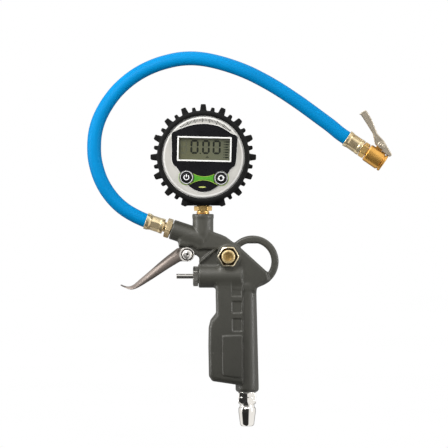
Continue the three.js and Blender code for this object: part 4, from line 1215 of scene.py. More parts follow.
# ------------------------------------------------------------------ air valve
VALVE_AT = Place((0, 0, VALVE_Z))
nut = fillet_loop([
    (-36.9, 2.8, 0.2), (-36.9, 6.6, 0.3), (-36.3, 8.45, 0.3), (-33.3, 8.45, 0.3),
    (-32.72, 7.1, 0.1), (-32.7, 5.7, 0.1), (-19.0, 5.7, 0.2), (-19.0, 2.1, 0.1),
    (-36.4, 2.1, 0.1),
], 0.1)
piece("gland_nut_hex", lathe(dense_loop(nut, 0.4), VALVE_AT, "x", 192, True,
                             hexagon=(-37, -32.71, 14.1), phase=90),
      "zinc", "gun", "gland_nut")
stem = fillet([
    (-50.2, 0), (-50.2, 1.75, 0.25), (-49.7, 2.0, 0.1), (-12.6, 2.0), (-12.2, 1.5), (-7.0, 1.5),
    (-7.0, 5.0, 0.2), (-5.4, 5.0, 0.2), (-5.4, 2.2), (-2.6, 2.2, 0.3), (-2.6, 0),
], 0.1)
piece("valve_stem_rod", lathe(stem, VALVE_AT, "x", 64), "chrome", "valve_stem", "valve_stem")
coil = [(x - 4.6, y, z + VALVE_Z) for x, y, z in helix(3.6, 3.6, 8.0, 5, 24, 0.75)]
valve_spring = piece("valve_return_spring", tube(coil, 0.45), "spring", "gun", "valve_spring")
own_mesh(valve_spring)

# ------------------------------------------------------------------ inlet plug
plug = fillet([
    (0.0, 3.4), (0.0, 4.6, 1.1), (1.3, 5.6, 2.0), (8.0, 6.45, 6), (11.2, 6.9, 1.2),
    (14.3, 6.9, 0.5), (15.2, 6.15, 0.5), (16.6, 5.8, 1.0), (17.7, 5.95, 0.6), (18.0, 6.9, 0.3),
    (20.0, 8.2, 0.6), (22.85, 8.4, 0), (22.95, 6.93, 0), (23.45, 6.93, 0), (23.55, 8.4, 0),
    (26.1, 8.4, 0.5), (26.85, 7.2, 0.2), (26.9, 6.2, 0.1), (38.0, 6.2, 0.4), (38.0, 3.4, 0.2),
], 0.1)
piece("inlet_quick_plug", lathe(dense(plug, 0.3), Place((INLET_X, 0, 0)), "z", 192, True,
                                hexagon=(17.95, 26.87, 14.0), phase=-90),
      "chrome", "gun", "inlet_plug")

# ------------------------------------------------------------------ bleed valve
BLEED_AT = place_at(BLEED)
bleed_hex = fillet_loop([
    (-13.4, 6.55), (-13.65, 6.75), (-13.65, 7.25), (-13.1, 8.5, 0.4), (-8.6, 8.8, 0),
    (-7.85, 7.6, 0.2), (-7.8, 5.7, 0.1), (2.0, 5.7, 0.2), (2.0, 2.65, 0.2), (-9.0, 2.65, 0.2),
    (-9.0, 6.55, 0.3),
], 0.12)
piece("bleed_valve_hex", lathe(dense_loop(bleed_hex, 0.35), BLEED_AT, "y", 192, True,
                               hexagon=(-13.7, -7.82, 15.3), phase=90),
      "bleed_hex", "gun", "bleed_hex_body")
button = fillet([
    (-15.7, 0), (-15.75, 1.8, 2.0), (-16.2, 3.6, 1.2), (-16.1, 4.8, 0.5), (-15.3, 5.4, 0.5),
    (-12.8, 5.45, 0.3), (-12.8, 2.0, 0.3), (3.6, 2.0, 0.2), (3.6, 3.8, 0.1), (4.2, 3.8, 0.1),
    (4.2, 0),
], 0.2)
piece("bleed_push_button", lathe(dense(button, 0.4), BLEED_AT, "y", 128), "brass_button",
      "bleed_button", "bleed_button")
coil = [(y, x - 12.3, z) for x, y, z in helix(4.2, 4.2, 2.7, 2.5, 28, 0.6)]
bleed_spring = piece("bleed_return_spring", tube(coil, 0.35, 10, BLEED_AT), "spring", "gun",
                     "bleed_spring")
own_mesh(bleed_spring)

# ------------------------------------------------------------------ gauge stem
nipple = [(161.6, 1.5), (161.6, 4.9)] + thread(161.9, 171.0, 5.4, 4.85, 0.62) + fillet([
    (171.6, 4.8), (172.1, 4.9), (172.12, 6.7, 0.1), (172.7, 7.6, 0.3), (175.5, 7.6, 0.3),
    (175.98, 6.7, 0.1), (176.0, 5.0, 0.1), (190.4, 5.0, 0.2), (190.4, 1.5, 0.1),
], 0.1)
piece("gauge_stem_nipple", lathe(dense(nipple, 0.5), Place((NECK_X, 0, 0)), "z", 192, True,
                                 hexagon=(172.1, 176.0, 12.7)),
      "brass", "gun", "gauge_stem")

# ------------------------------------------------------------------ rubber boot
LUG_PITCH = 22.5                    # degrees between lugs of one kind
BOOT_SECTION = [                    # radius, y[, corner radius]
    (32.95, -14.9, 0.4), (34.4, -15.55, 0.8), (35.6, -15.6, 1.4), (36.9, -13.9, 1.2),
    (37.1, 0, 8), (36.9, 13.2, 1.4), (35.4, 15.0, 1.4), (29.8, 15.0, 0.6), (29.6, 12.62, 0.1),
    (34.6, 12.62, 0.2), (34.6, -12.0, 0.2), (32.95, -12.0, 0.3),
]
BOOT_PAD = [
    (-14.6, -38.7, 1.0), (14.6, -38.7, 1.0), (15.2, -33.4), (7.5, -35.6), (0, -36.2),
    (-7.5, -35.6), (-15.2, -33.4),
]


def boot_lugs(grid, first, tip, half, reach, skip):
    """Lugs round the rim from the angle first, out to the radius tip, none at skip."""
    radius = grid.radius()
    angle = np.degrees(np.arctan2(grid.z, grid.x))
    number = np.round((angle - first) / LUG_PITCH)
    off = np.radians(angle - first - number * LUG_PITCH)
    across, out = radius * np.sin(off), radius * np.cos(off)
    width = half + 0.55 * np.clip((tip - out) / 4.0, 0, 1.6)
    field = rounded(np.abs(across) - width, np.abs(out - (tip + 34.9) / 2) - (tip - 34.9) / 2, 0.6)
    lug_angle = np.mod(first + number * LUG_PITCH, 360)
    for missing in skip:
        field = np.where(np.abs(lug_angle - missing) < 1, 30.0, field)
    return rounded(field, grid.side - reach, 0.8)


def boot():
    grid = Grid((-43.6, -16.6, -43.6), (43.6, 16.2, 43.6), 0.46)
    field = grid.revolved(fillet_loop(BOOT_SECTION, 0.3, 3))
    field = union(field, boot_lugs(grid, 90.0, 42.1, 1.95, 11.8, (270,)), 0.7)
    field = union(field, boot_lugs(grid, 78.75, 40.1, 1.30, 10.2, (258.75, 281.25)), 0.7)
    field = union(field, grid.plate(fillet_loop(BOOT_PAD, 0.3), 10.0, 1.0), 1.0)
    # shallow groove round the front face, and the hole for the stem
    field = cut(field, np.hypot(grid.radius() - 34.9, grid.y + 15.75) - 0.42, 0.3)
    field = cut(field, np.maximum(np.hypot(grid.x - STEM_X, grid.y) - 5.6, grid.z + 28))
    return grid.mesh(field, GAUGE_AT)


piece("rubber_boot", boot(), "boot", "gun", "gauge_boot", angle=45)

# ------------------------------------------------------------------ back housing and cover
SCREWS = [(-18.5, 19), (18.5, 19), (9.5, -25), (-9.5, -25)]
COVER_SCREW_Z = -13.7
HOUSING_SECTION = [                 # radius, y[, corner radius]
    (-5, 12.15, 0), (33.4, 12.15, 0.8), (34.3, 11.3, 0.8), (34.3, -5.7, 0.2),
    (32.3, -5.7, 0.2), (32.3, 10.2, 0.3), (-5, 10.2, 0),
]


def housing():
    grid = Grid((-35, -6.6, -35), (35, 13.0, 35), 0.42)
    field = grid.revolved(fillet_loop(HOUSING_SECTION, 0.2, 3))
    for x, z in SCREWS:
        field = union(field, grid.rod((x, -1.9, z), (x, 10.4, z), 2.9, 0.2), 0.4)
    block = np.maximum(np.abs(grid.x) - 6, np.abs(grid.z + 15.5) - 3.5)
    field = np.minimum(field, np.maximum(block, np.abs(grid.y - 9.2) - 1.2))
    recess = grid.outline(fillet_loop(rectangle(-24.3, 24.3, -15.8, 12.8), 2.4))
    field = cut(field, np.maximum(recess, 10.3 - grid.y), 0.25)
    bay = grid.outline(fillet_loop(rectangle(-23.8, 23.8, -11.5, 12.3), 1.5))
    field = cut(field, np.maximum(bay, 9.3 - grid.y))
    # a shallow ring and three grooves in the back
    field = cut(field, np.hypot(grid.radius() - 28.6, grid.y - 12.5) - 0.55, 0.2)
    for z in (17.6, 20.4, 23.2):
        line = np.hypot(np.maximum(np.abs(grid.x) - 8.5, 0), grid.z - z)
        field = cut(field, np.hypot(line, grid.y - 12.5) - 0.7, 0.2)
    for x, z in SCREWS:
        field = cut(field, grid.rod((x, -3, z), (x, 14, z), 1.3, 0.05))
        field = cut(field, grid.rod((x, 10.1, z), (x, 14, z), 2.55, 0.05), 0.2)
    field = cut(field, grid.rod((STEM_X, 0, -37), (STEM_X, 0, -29), 5.4, 0.1))
    field = cut(field, grid.rod((0, 7, COVER_SCREW_Z), (0, 14, COVER_SCREW_Z), 1.0, 0.05))
    return grid.mesh(field, GAUGE_AT)


def cross_recess(x, z, y_top, depth, size, turn):
    """Tools for a cross recess: two tapered bars."""
    faces = [[0, 1, 2, 3], [7, 6, 5, 4], [0, 4, 5, 1], [1, 5, 6, 2], [2, 6, 7, 3], [3, 7, 4, 0]]
    out = []
    for k in range(2):
        c, s = math.cos(rad(turn + 90 * k)), math.sin(rad(turn + 90 * k))
        points = []
        for y, length, width in ((y_top + 0.6, size, 0.42), (y_top - depth, size * 0.45, 0.26)):
            for u, v in rectangle(-length, length, -width, width):
                points.append((x + u * c - v * s, y, z + u * s + v * c))
        out.append((GAUGE_AT(points), faces))
    return out


def cover():
    """The battery cover, with thumb ridges and grooves by turns."""
    grid = Grid((-24.6, 10.0, -16.1), (24.6, 12.8, 13.1), 0.2)
    field = grid.plate(fillet_loop(rectangle(-24, 24, -15.5, 12.5), 2.2), 0.8, 0.35, 11.4)
    for k in range(7):
        half = 7.5 - 0.35 * abs(k - 3)
        line = np.hypot(np.maximum(np.abs(grid.x) - half, 0), grid.z - (-10.5 + 1.5 * k))
        if k % 2 == 0:
            field = union(field, np.hypot(line, grid.y - 12.15) - 0.38, 0.25)
        else:
            field = cut(field, np.hypot(line, grid.y - 12.35) - 0.35, 0.2)
    for y, radius in ((9, 1.1), (11.3, 2.1)):
        field = cut(field, grid.rod((0, y, COVER_SCREW_Z), (0, 14, COVER_SCREW_Z), radius, 0.02))
    return grid.mesh(field, GAUGE_AT)


piece("gauge_back_housing", housing(), "black_plastic", "gun", "gauge_housing",
      angle=38)
screw = dense(fillet([
    (-7.4, 0), (-7.4, 0.7, 0.2), (-6.6, 1.0, 0.1), (10.4, 1.0, 0.1), (10.4, 2.2, 0.1),
    (11.35, 2.2, 0.35), (11.95, 1.2, 1.0), (12.0, 0),
], 0.1), 1.5)
for i, (x, z) in enumerate(SCREWS):
    data = boolean(lathe(screw, GAUGE_AT, "y", 48, at=(x, 0, z)),
                   (CUT, cross_recess(x, z, 12.0, 1.0, 1.25, 20 + 31 * i)))
    piece(f"housing_screw_{i + 1}", data, "zinc", "gun", f"case_screw_{i + 1}")
piece("battery_cover", cover(), "door_plastic", "battery_door", "battery_door",
      angle=40)
screw = fillet([
    (8.3, 0), (8.3, 0.5, 0.1), (8.8, 0.8, 0.1), (11.6, 0.8, 0.05), (11.6, 1.8, 0.1),
    (12.2, 1.8, 0.3), (12.5, 0.8, 0.6), (12.5, 0),
], 0.1)
data = boolean(lathe(screw, GAUGE_AT, "y", 48, at=(0, 0, COVER_SCREW_Z)),
               (CUT, cross_recess(0, COVER_SCREW_Z, 12.5, 0.8, 1.0, 12)))
piece("battery_cover_screw", data, "zinc", "battery_door", "battery_door_screw")

# ------------------------------------------------------------------ front shell and panel
FACE_MID_X = 0.75
DISPLAY = (FACE_MID_X, 6.2)
ON_KEY, FUNC_KEY = KEYS = [(-13.05, -16.6), (14.55, -16.6)]


def display_rectangle(half_x, half_z):
    x, z = DISPLAY
    return rectangle(x - half_x, x + half_x, z - half_z, z + half_z)


def front_shell():
    profile = fillet([
        (-13.35, 0), (-13.35, 31.2, 3.0), (-13.0, 32.3, 0.5), (-11.75, 32.4, 0.1),
        (-11.7, 34.3, 0.3), (-6.0, 34.3, 0.3), (-6.0, 32.2, 0.1), (-11.2, 32.2, 0.2),
        (-11.2, 0),
    ], 0.1)
    x, z = DISPLAY
    openings = [box(x - 23.3, x + 23.3, -15, -10.6, z - 11.1, z + 11.1, FACE_AT)]
    openings += [cylinder(*key, -15, -10.6, 4.3, 48, FACE_AT) for key in KEYS]
    posts = [cylinder(*screw, -11.6, -2.4, 2.4, 24, GAUGE_AT) for screw in SCREWS]
    holes = [cylinder(*screw, -8.2, -1.6, 1.6, 20, GAUGE_AT) for screw in SCREWS]
    return boolean(lathe(dense(profile, 2.0), GAUGE_AT, "y", 192),
                   (CUT, openings), (ADD, posts), (CUT, holes))


piece("silver_front_shell", front_shell(), "silver", "gun", "gauge_front_shell",
      angle=30)

# the panel's outline runs clockwise from its top left corner
panel_arch = smooth_curve([
    (-24.6, 19.2), (-18.4, 22.0), (-12.3, 24.3), (-6.0, 25.8), (0.2, 26.3), (6.4, 25.8),
    (12.6, 24.3), (18.0, 21.5), (22.0, 19.0), (26.0, 17.6),
], 4)
panel_bottom = smooth_curve([
    (12.6, -22.6), (9.6, -24.9), (5.2, -27.0), (0.3, -27.9), (-4.6, -27.0), (-8.8, -24.9),
    (-11.6, -22.6),
], 4)
panel_right = fillet([
    (26.6, 17.2), (26.9, 15.8, 0.8), (26.5, 4.0, 10), (25.9, -4.4, 0.8), (25.0, -6.6, 1.4),
    (22.2, -8.8, 1.5), (19.6, -13.2),
], 0.5)[1:]
panel_left = fillet([
    (-18.0, -13.0), (-20.6, -9.2, 1.5), (-23.8, -6.4, 1.4), (-24.9, -3.6, 1.2),
    (-25.3, 8.0, 10), (-25.6, 17.6, 0.7), (-24.6, 19.2),
], 0.5)[:-1]
panel = panel_arch + panel_right + [FUNC_KEY] + panel_bottom + [ON_KEY] + panel_left
# a slightly larger copy of the panel's outline, for a thin pale sheet just behind the panel: a
# painted highlight along its edge
panel_highlight_outline = [(0.7 + (x - 0.7) * 1.020, -0.8 + (z + 0.8) * 1.020) for x, z in panel]


def face_sheet(outline, y0, y1):
    """A sheet of the face, open for the display and the keys."""
    holes = [cylinder(*key, -15, -12, 5.75, 96, FACE_AT) for key in KEYS]
    window = display_rectangle(21.2, 9.5)
    return boolean(slab(outline, y0, y1, FACE_AT, 0.0, [window]), (CUT, holes))


piece("face_panel_black", face_sheet(panel, -14.02, -13.5), "panel", "gun", "face_panel",
      angle=30)
# painted highlight: the thin pale sheet that shows round the black panel's edge
piece("face_panel_edge_highlight", face_sheet(panel_highlight_outline, -13.48, -13.37), "edge_silver", "gun", angle=30)

# ------------------------------------------------------------------ display
frame_outer = fillet_loop(display_rectangle(21.6, 9.9), 0.5, 4)
frame_inner = fillet_loop(display_rectangle(20.4, 8.7), 0.25, 4)
piece("display_frame", slab(frame_outer, -14.5, -13.52, FACE_AT, 0.18, [frame_inner], 0.0),
      "white", "gun", "lcd_bezel", angle=25)
window = fillet_loop(display_rectangle(23, 10.8), 0.8, 4)
piece("display_window", slab(window, -13.15, -11.5, FACE_AT, 0.12), "lens", "gun", "lcd_lens",
      angle=25)
module = fillet_loop(display_rectangle(22.4, 9.6), 0.3, 3)
piece("display_module", slab(module, -10.9, -8.2, FACE_AT, 0.1), "lcd", "gun", "lcd_module",
      angle=25)


def flat_set(name, shapes, y0, y1, material, bevel=0.0, body="gun"):
    """Several flat shapes on the face as one piece."""
    parts = [slab(shape, y0, y1, FACE_AT, bevel) for shape in shapes]
    return piece(name, join(*parts), material, body, angle=30)


def digit_segments(x0, x1, width):
    """The seven six-sided segments a..g of one digit."""
    half, gap = width / 2, 0.16
    left, right, low, high = x0 + half, x1 - half, 2.3 + half, 13.5 - half
    middle = (2.3 + 13.5) / 2
    lines = {
        "a": (left, high, right, high), "d": (left, low, right, low),
        "g": (left, middle, right, middle), "f": (left, middle, left, high),
        "e": (left, low, left, middle), "b": (right, middle, right, high),
        "c": (right, low, right, middle),
    }
    out = {}
    for key, line in lines.items():
        a, b = np.array(line[:2]), np.array(line[2:])
        way = (b - a) / np.linalg.norm(b - a)
        a, b = a + way * gap, b - way * gap
        along, side = way * half, np.array([-way[1], way[0]]) * half
        shape = (a, a + along + side, b - along + side, b, b - along - side, a + along - side)
        out[key] = [tuple(p) for p in shape]
    return out


lit, idle = [], []
for x0, x1 in ((-10.4, -3.9), (-1.1, 5.0), (7.3, 13.7)):
    digit = digit_segments(x0, x1, 1.55)
    lit += [digit[key] for key in "abcdef"]
    idle.append(digit["g"])
idle += digit_segments(-19.2, -13.0, 1.35).values()
lit.append(rectangle(-3.0, -2.0, 2.3, 3.3))
# a stack of plain bars stands for the unit markers
for k in range(7):
    z = 12.3 - k * 2.05
    lit.append(rectangle(17.3, 20.2 - 0.3 * (k % 3), z - 0.55, z + 0.45))
    lit.append(rectangle(16.1, 16.8, z - 0.45, z + 0.35))
lit += [rectangle(2.0, 4.2, -0.6, 0.0), rectangle(2.6, 3.6, 0.3, 0.7)]
flat_set("display_segments_on", lit, -10.97, -10.92, "digit")
flat_set("display_segments_off", idle, -10.95, -10.92, "ghost")

# ------------------------------------------------------------------ keys
key_ring = fillet_loop([
    (-13.52, 4.32), (-13.52, 5.5), (-14.2, 5.5, 0.2), (-14.75, 5.1, 0.25), (-14.75, 4.55, 0.15),
    (-14.3, 4.3, 0.1),
], 0.08)
key_cap = fillet([
    (-15.15, 0), (-15.25, 2.2, 1.5), (-15.3, 3.0, 0.4), (-14.9, 3.72, 0.35), (-14.3, 3.95, 0.2),
    (-10.8, 3.95, 0.2), (-10.8, 4.9, 0.1), (-9.6, 4.9, 0.1), (-9.6, 0),
], 0.1)
for (x, z), name in zip(KEYS, ("on", "func")):
    piece(f"{name}_key_trim", lathe(key_ring, FACE_AT, "y", 96, True, at=(x, 0, z)), "trim",
          "gun", f"{name}_key_ring")
    piece(f"{name}_key_cap", lathe(key_cap, FACE_AT, "y", 96, at=(x, 0, z)), "key",
          f"{name}_key", f"{name}_key")


def icon_arc(key, start, end, outer_count, inner_count):
    return arc(key, 2.3, start, end, outer_count) + arc(key, 1.62, end, start, inner_count)


def arrow_head(key, angle):
    size = 1.05
    out = np.array([math.cos(rad(angle)), math.sin(rad(angle))])
    tip = np.array([-out[1], out[0]])
    middle = np.array(key) + out * 1.96
    return [tuple(middle + out * size), tuple(middle - out * size),
            tuple(middle + tip * size * 1.2)]


x, z = ON_KEY
bar = rectangle(x - 0.36, x + 0.36, z + 0.2, z + 2.6)
flat_set("on_key_icon", [icon_arc(ON_KEY, 125, 415, 34, 30), bar], -15.33, -15.12, "icon",
         bevel=0.03, body="on_key")
func_icon = [icon_arc(FUNC_KEY, start, start + 150, 24, 20) for start in (40, 220)]
func_icon += [arrow_head(FUNC_KEY, angle) for angle in (190, 370)]
flat_set("func_key_icon", func_icon, -15.33, -15.12, "icon", bevel=0.02, body="func_key")


# ------------------------------------------------------------------ printed accents
def accent_curve(offset, bend, start, end, count):
    """A parabola between the keys, offset and bent up or down from their middle."""
    return [(FACE_MID_X + u, -17.0 + offset + bend * (abs(u) / 8.9) ** 2.0)
            for u in np.linspace(start, end, count)]


def key_side(key, side, start, end):
    """An arc round a key on its right (side 1) or left (-1)."""
    return [(key[0] + side * 6.15 * math.cos(rad(a)), key[1] + 6.15 * math.sin(rad(a)))
            for a in np.linspace(start, end, 9)]


def stroke(points, width):
    """The outline of a line drawn with a width."""
    ways = directions(np.array(points, float))
    off = np.stack([-ways[:, 1], ways[:, 0]], 1) * width / 2
    points = np.array(points, float)
    return [tuple(p) for p in points + off] + [tuple(p) for p in (points - off)[::-1]]


def between_keys(curve):
    return [p for p in curve if abs(p[0] - FACE_MID_X) < 8.0]


bow_tie = (between_keys(accent_curve(0.95, 2.35, -8.9, 8.9, 31)) + key_side(FUNC_KEY, -1, 26, -30)
           + between_keys(accent_curve(-1.05, -2.25, 8.9, -8.9, 31))
           + key_side(ON_KEY, 1, -30, 26))
flat_set("accent_bow_tie", [bow_tie], -14.09, -14.0, "green", bevel=0.02)


def key_outline(key):
    """A thin flat ring, its rings of points inner then outer, front then back."""
    seg = 64
    angles = [2 * math.pi * k / seg for k in range(seg)]
    points = [(key[0] + radius * math.cos(a), y, key[1] + radius * math.sin(a))
              for y in (-14.80, -14.72) for radius in (4.70, 5.02) for a in angles]
    faces = []
    for i in range(seg):
        j = (i + 1) % seg
        for a, b, c, d in ((0, 0, 1, 1), (2, 2, 3, 3), (0, 0, 2, 2), (1, 1, 3, 3)):
            first, second = (i, j) if (a, c) in ((0, 1), (1, 3)) else (j, i)
            faces.append([a * seg + first, b * seg + second, c * seg + second, d * seg + first])
    return FACE_AT(points), faces


for key, name in zip(KEYS, ("on", "func")):
    piece(f"{name}_key_outline", key_outline(key), "icon", "gun")
accent_lines = [stroke(accent_curve(1.3, 2.3, -8.6, 8.6, 31), 0.34),
                stroke(accent_curve(-1.45, -2.3, -11.0, 11.0, 35), 0.42)]
flat_set("accent_lines", accent_lines, -14.12, -14.03, "lime")
key_rims = [stroke(arc(FUNC_KEY, 6.05, -150, 60, 40), 0.36),
            stroke(arc(ON_KEY, 6.05, 120, 330, 40), 0.36)]
flat_set("accent_key_rims", key_rims, -13.62, -13.34, "lime")
oval = [(-0.2 + 2.9 * math.cos(t), -24.1 + 0.62 * math.sin(t))
        for t in np.linspace(0, 2 * math.pi, 33)[:-1]]
flat_set("accent_mark", [oval], -14.1, -14.0, "yellow", bevel=0.02)

# graduations round the top of the dial, every fifth one long
ticks = []
for k in range(36):
    angle = rad(128 - 82 * k / 35)
    start, end, half = (27.7, 30.7, 0.40) if k % 5 == 0 else (28.4, 30.3, 0.27)
    c, s = math.cos(angle), math.sin(angle)
    ticks.append([(r * c - w * s, r * s + w * c)
                  for r, w in ((start, half), (end, half), (end, -half), (start, -half))])
flat_set("dial_graduations", ticks, -13.41, -13.33, "ink")

# ------------------------------------------------------------------ cells and contacts
CELL_Y, CELL_Z = 4.3, 5.6           # the cells lie side by side along x, at z +-CELL_Z
cell = fillet([
    (-21.6, 0), (-21.6, 3.9, 0.2), (-21.75, 4.6, 0.2), (-21.1, 5.2, 0.4), (20.6, 5.2, 0.4),
    (21.0, 4.7, 0.2), (20.9, 2.1, 0.1), (21.9, 1.9, 0.15), (21.9, 0),
], 0.1)
for i, sign in enumerate((1, -1)):
    data = lathe(dense([(t * sign, radius) for t, radius in cell], 3.0), GAUGE_AT, "x", 64,
                 at=(0, CELL_Y, sign * CELL_Z))
    piece(f"aaa_cell_{i + 1}", data, "wrap", "gun", f"battery_{i + 1}")

# plates that stand across x: their outline is in (z, y)
CONTACT_AT = Place((GAUGE[0], 0, GAUGE[1]), ((0, 0, 1), (1, 0, 0), (0, 1, 0)))
contact = fillet_loop(rectangle(-10.6, 10.6, -0.6, 9.0), 1.2)
for name, side in (("left", -1), ("right", 1)):
    plate = slab(contact, *sorted((side * 24.0, side * 24.6)), CONTACT_AT, 0.1)
    coil = [(-side * x + side * 24.1, y + CELL_Y, z - side * CELL_Z)
            for x, y, z in helix(3.4, 2.2, 1.9, 2.5, 24, 0.4)]
    piece(f"cell_contact_{name}", join(plate, tube(coil, 0.33, 8, GAUGE_AT)), "spring", "gun",
          f"battery_contact_{name}")

# ------------------------------------------------------------------ outlet fitting
fitting = [(-8.0, 1.6), (-8.0, 4.5)] + thread(-7.7, -0.6, 4.9, 4.4, 0.6) + fillet([
    (0.45, 4.5), (0.5, 6.9, 0.1), (1.0, 8.25, 0.3), (4.4, 8.25, 0.3), (4.88, 6.9, 0.1),
    (4.9, 4.0, 0.1), (7.4, 4.0, 0.1), (7.4, 2.8, 0.1), (9.0, 2.8), (9.0, 3.0), (12.6, 2.6),
    (12.6, 3.0), (16.2, 2.6), (16.2, 3.0), (20.4, 2.5), (20.4, 1.6),
], 0.05)
piece("outlet_hose_fitting", lathe(dense(fitting, 0.4), OUTLET_AT, "x", 192, True,
                                   hexagon=(0.46, 4.89, 14.2), phase=45),
      "brass_pale", "gun", "outlet_fitting")


def crimp(start, end, depth, sides, turn, soft):
    """A warp that presses flats into a sleeve between start and end."""
    def warp(t, angles, radii):
        share = np.clip((t - start) / soft, 0, 1) * np.clip((end - t) / soft, 0, 1)
        if share <= 0:
            return radii
        share = share * share * (3 - 2 * share)
        off = np.mod(angles - rad(turn), 2 * math.pi / sides) - math.pi / sides
        flat = (radii[0] - depth) / np.cos(off)
        return radii * (1 - share) + np.minimum(radii, flat) * share
    return warp


ferrule = fillet_loop([
    (6.7, 4.4, 0.1), (6.7, 6.1, 0.5), (9.2, 6.2, 1.0), (10.4, 6.05, 1.0), (16.8, 6.05, 1.0),
    (18.0, 6.3, 1.0), (19.0, 6.6, 1.0), (21.55, 6.7, 0.2), (21.8, 6.4, 0.1), (21.8, 5.95, 0.1),
    (7.9, 5.95, 0.1), (7.9, 4.4, 0.1),
], 0.1)
piece("crimp_ferrule_outlet", lathe(dense_loop(ferrule, 0.4), OUTLET_AT, "x", 144, True,
                                    warp=crimp(8.6, 19.0, 0.42, 8, 12, 1.6)),
      "brass_pale", "gun", "ferrule_1")

# ------------------------------------------------------------------ hose
# middle line of the hose, one piece from the outlet to the chuck
HOSE_LINE = [
    (-61.98, 160.06), (-74.64, 164.3), (-83.6, 168.4), (-92.2, 173.7), (-99.5, 180.2),
    (-105.6, 187.9), (-110.3, 196.3), (-113.6, 205.4), (-115.6, 214.8), (-116.0, 224.4),
    (-115.2, 234.0), (-112.8, 243.3), (-108.8, 252.2), (-103.5, 260.7), (-97.3, 268.4),
    (-90.2, 275.1), (-82.5, 280.8), (-74.4, 285.4), (-65.6, 289.1), (-56.5, 291.8),
    (-47.2, 293.6), (-37.7, 294.1), (-28.1, 293.3), (-18.6, 291.4), (-9.3, 288.8),
    (-0.2, 285.7), (8.7, 282.0), (17.3, 277.7), (25.8, 273.0), (34.0, 268.0), (42.0, 262.7),
    (49.9, 257.3), (57.6, 251.7), (65.3, 246.0), (73.0, 240.3),
] + [tuple(CHUCK_AT((x, 0, 0))[[0, 2]]) for x in (-42.4, -35.8, -29.4, -23.0)]
HOSE_RADII = (5.6, 3.4)             # outer, inner


def hose():
    line = np.array(smooth_curve(HOSE_LINE, 6))
    path = np.stack([line[:, 0], np.zeros(len(line)), line[:, 1]], 1)
    ways = directions(path)
    normals = np.stack([-ways[:, 2], np.zeros(len(path)), ways[:, 0]], 1)
    side = np.array([0, 1, 0.0])
    seg = 64
    angles = 2 * math.pi * np.arange(seg) / seg
    verts, faces, rings = [], [], []
    for point, normal in zip(path, normals):
        starts = []
        for radius in HOSE_RADII:
            starts.append(len(verts))
            verts += [point + (normal * math.cos(a) + side * math.sin(a)) * radius
                      for a in angles]
        rings.append(starts)
    for (outer, inner), (next_outer, next_inner) in zip(rings[:-1], rings[1:]):
        for k in range(seg):
            j = (k + 1) % seg
            faces.append([outer + k, outer + j, next_outer + j, next_outer + k])
            faces.append([inner + j, inner + k, next_inner + k, next_inner + j])
    for (outer, inner), flip in ((rings[0], False), (rings[-1], True)):
        for k in range(seg):
            j = (k + 1) % seg
            face = [outer + j, outer + k, inner + k, inner + j]
            faces.append(face[::-1] if flip else face)
    return np.array(verts), faces


air_hose = piece("air_hose", hose(), "hose", None, "hose_gun_half hose_chuck_half",
                 angle=40)
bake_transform(air_hose)

# ------------------------------------------------------------------ clip-on chuck
ferrule = fillet_loop([
    (-35.8, 5.95, 0.1), (-35.8, 6.55, 0.1), (-35.5, 6.75, 0.2), (-33.6, 6.7, 1.0),
    (-32.2, 6.3, 1.0), (-25.0, 6.3, 1.0), (-24.0, 6.5, 0.6), (-21.8, 6.45, 0.3),
    (-21.6, 6.1, 0.1), (-21.6, 4.0, 0.1), (-22.7, 4.0, 0.1), (-22.7, 5.95, 0.1),
], 0.1)
piece("crimp_ferrule_chuck", lathe(dense_loop(ferrule, 0.4), CHUCK_AT, "x", 144, True,
                                   warp=crimp(-33.6, -24.0, 0.40, 6, 40, 1.5)),
      "brass_pale", "chuck_end", "ferrule_2")
tail = fillet([
    (-34.8, 1.5), (-34.8, 2.5), (-30.6, 2.9), (-30.6, 2.6), (-27.0, 2.9), (-27.0, 2.6),
    (-23.4, 2.9), (-22.7, 3.6, 0.1), (-21.32, 3.7, 0.1), (-21.3, 5.7, 0.1), (-20.7, 6.6, 0.3),
    (-17.2, 6.6, 0.3), (-16.62, 5.7, 0.1), (-16.6, 2.9, 0.1), (-14.6, 2.9, 0.1), (-14.6, 1.5),
], 0.04)
piece("chuck_tail_nipple", lathe(dense(tail, 0.35), CHUCK_AT, "x", 192, True,
                                 hexagon=(-21.31, -16.61, 11.4), phase=30),
      "brass", "chuck_end", "chuck_tail_fitting")


def chuck_barrel():
    """The barrel with its lever lug, a slot at the mouth and the rivet hole."""
    barrel = fillet_loop([
        (-16.2, 3.2, 0.1), (-16.2, 6.5, 0.5), (-15.4, 7.3, 0.5), (-3.2, 7.3, 0.12),
        (-3.1, 6.45, 0.1), (-2.0, 6.45, 0.1), (-1.9, 7.3, 0.12), (-0.5, 7.3, 0.4),
        (0.0, 6.8, 0.2), (0.0, 4.75, 0.2), (-0.6, 4.3, 0.2), (-12.0, 4.3, 0.2),
        (-12.0, 3.8, 0.1), (-14.3, 3.8, 0.1), (-14.3, 3.2, 0.1),
    ], 0.05)
    lug = fillet_loop([
        (-12.8, 5.6), (-6.8, 5.6), (-7.4, 10.8, 1.4), (-8.6, 12.4, 1.4), (-11.0, 12.4, 1.4),
        (-12.2, 10.8, 1.4),
    ], 0.2)
    slot = box(-2.6, 1.5, -2.5, 2.5, 2.4, 9, CHUCK_AT)
    hole = cylinder(*LEVER_PIVOT, -3, 3, 1.3, 32, CHUCK_AT)
    return boolean(lathe(barrel, CHUCK_AT, "x", 128, True),
                   (ADD, [slab(lug, -1.5, 1.5, CHUCK_AT, 0.2)]), (CUT, [slot, hole]))


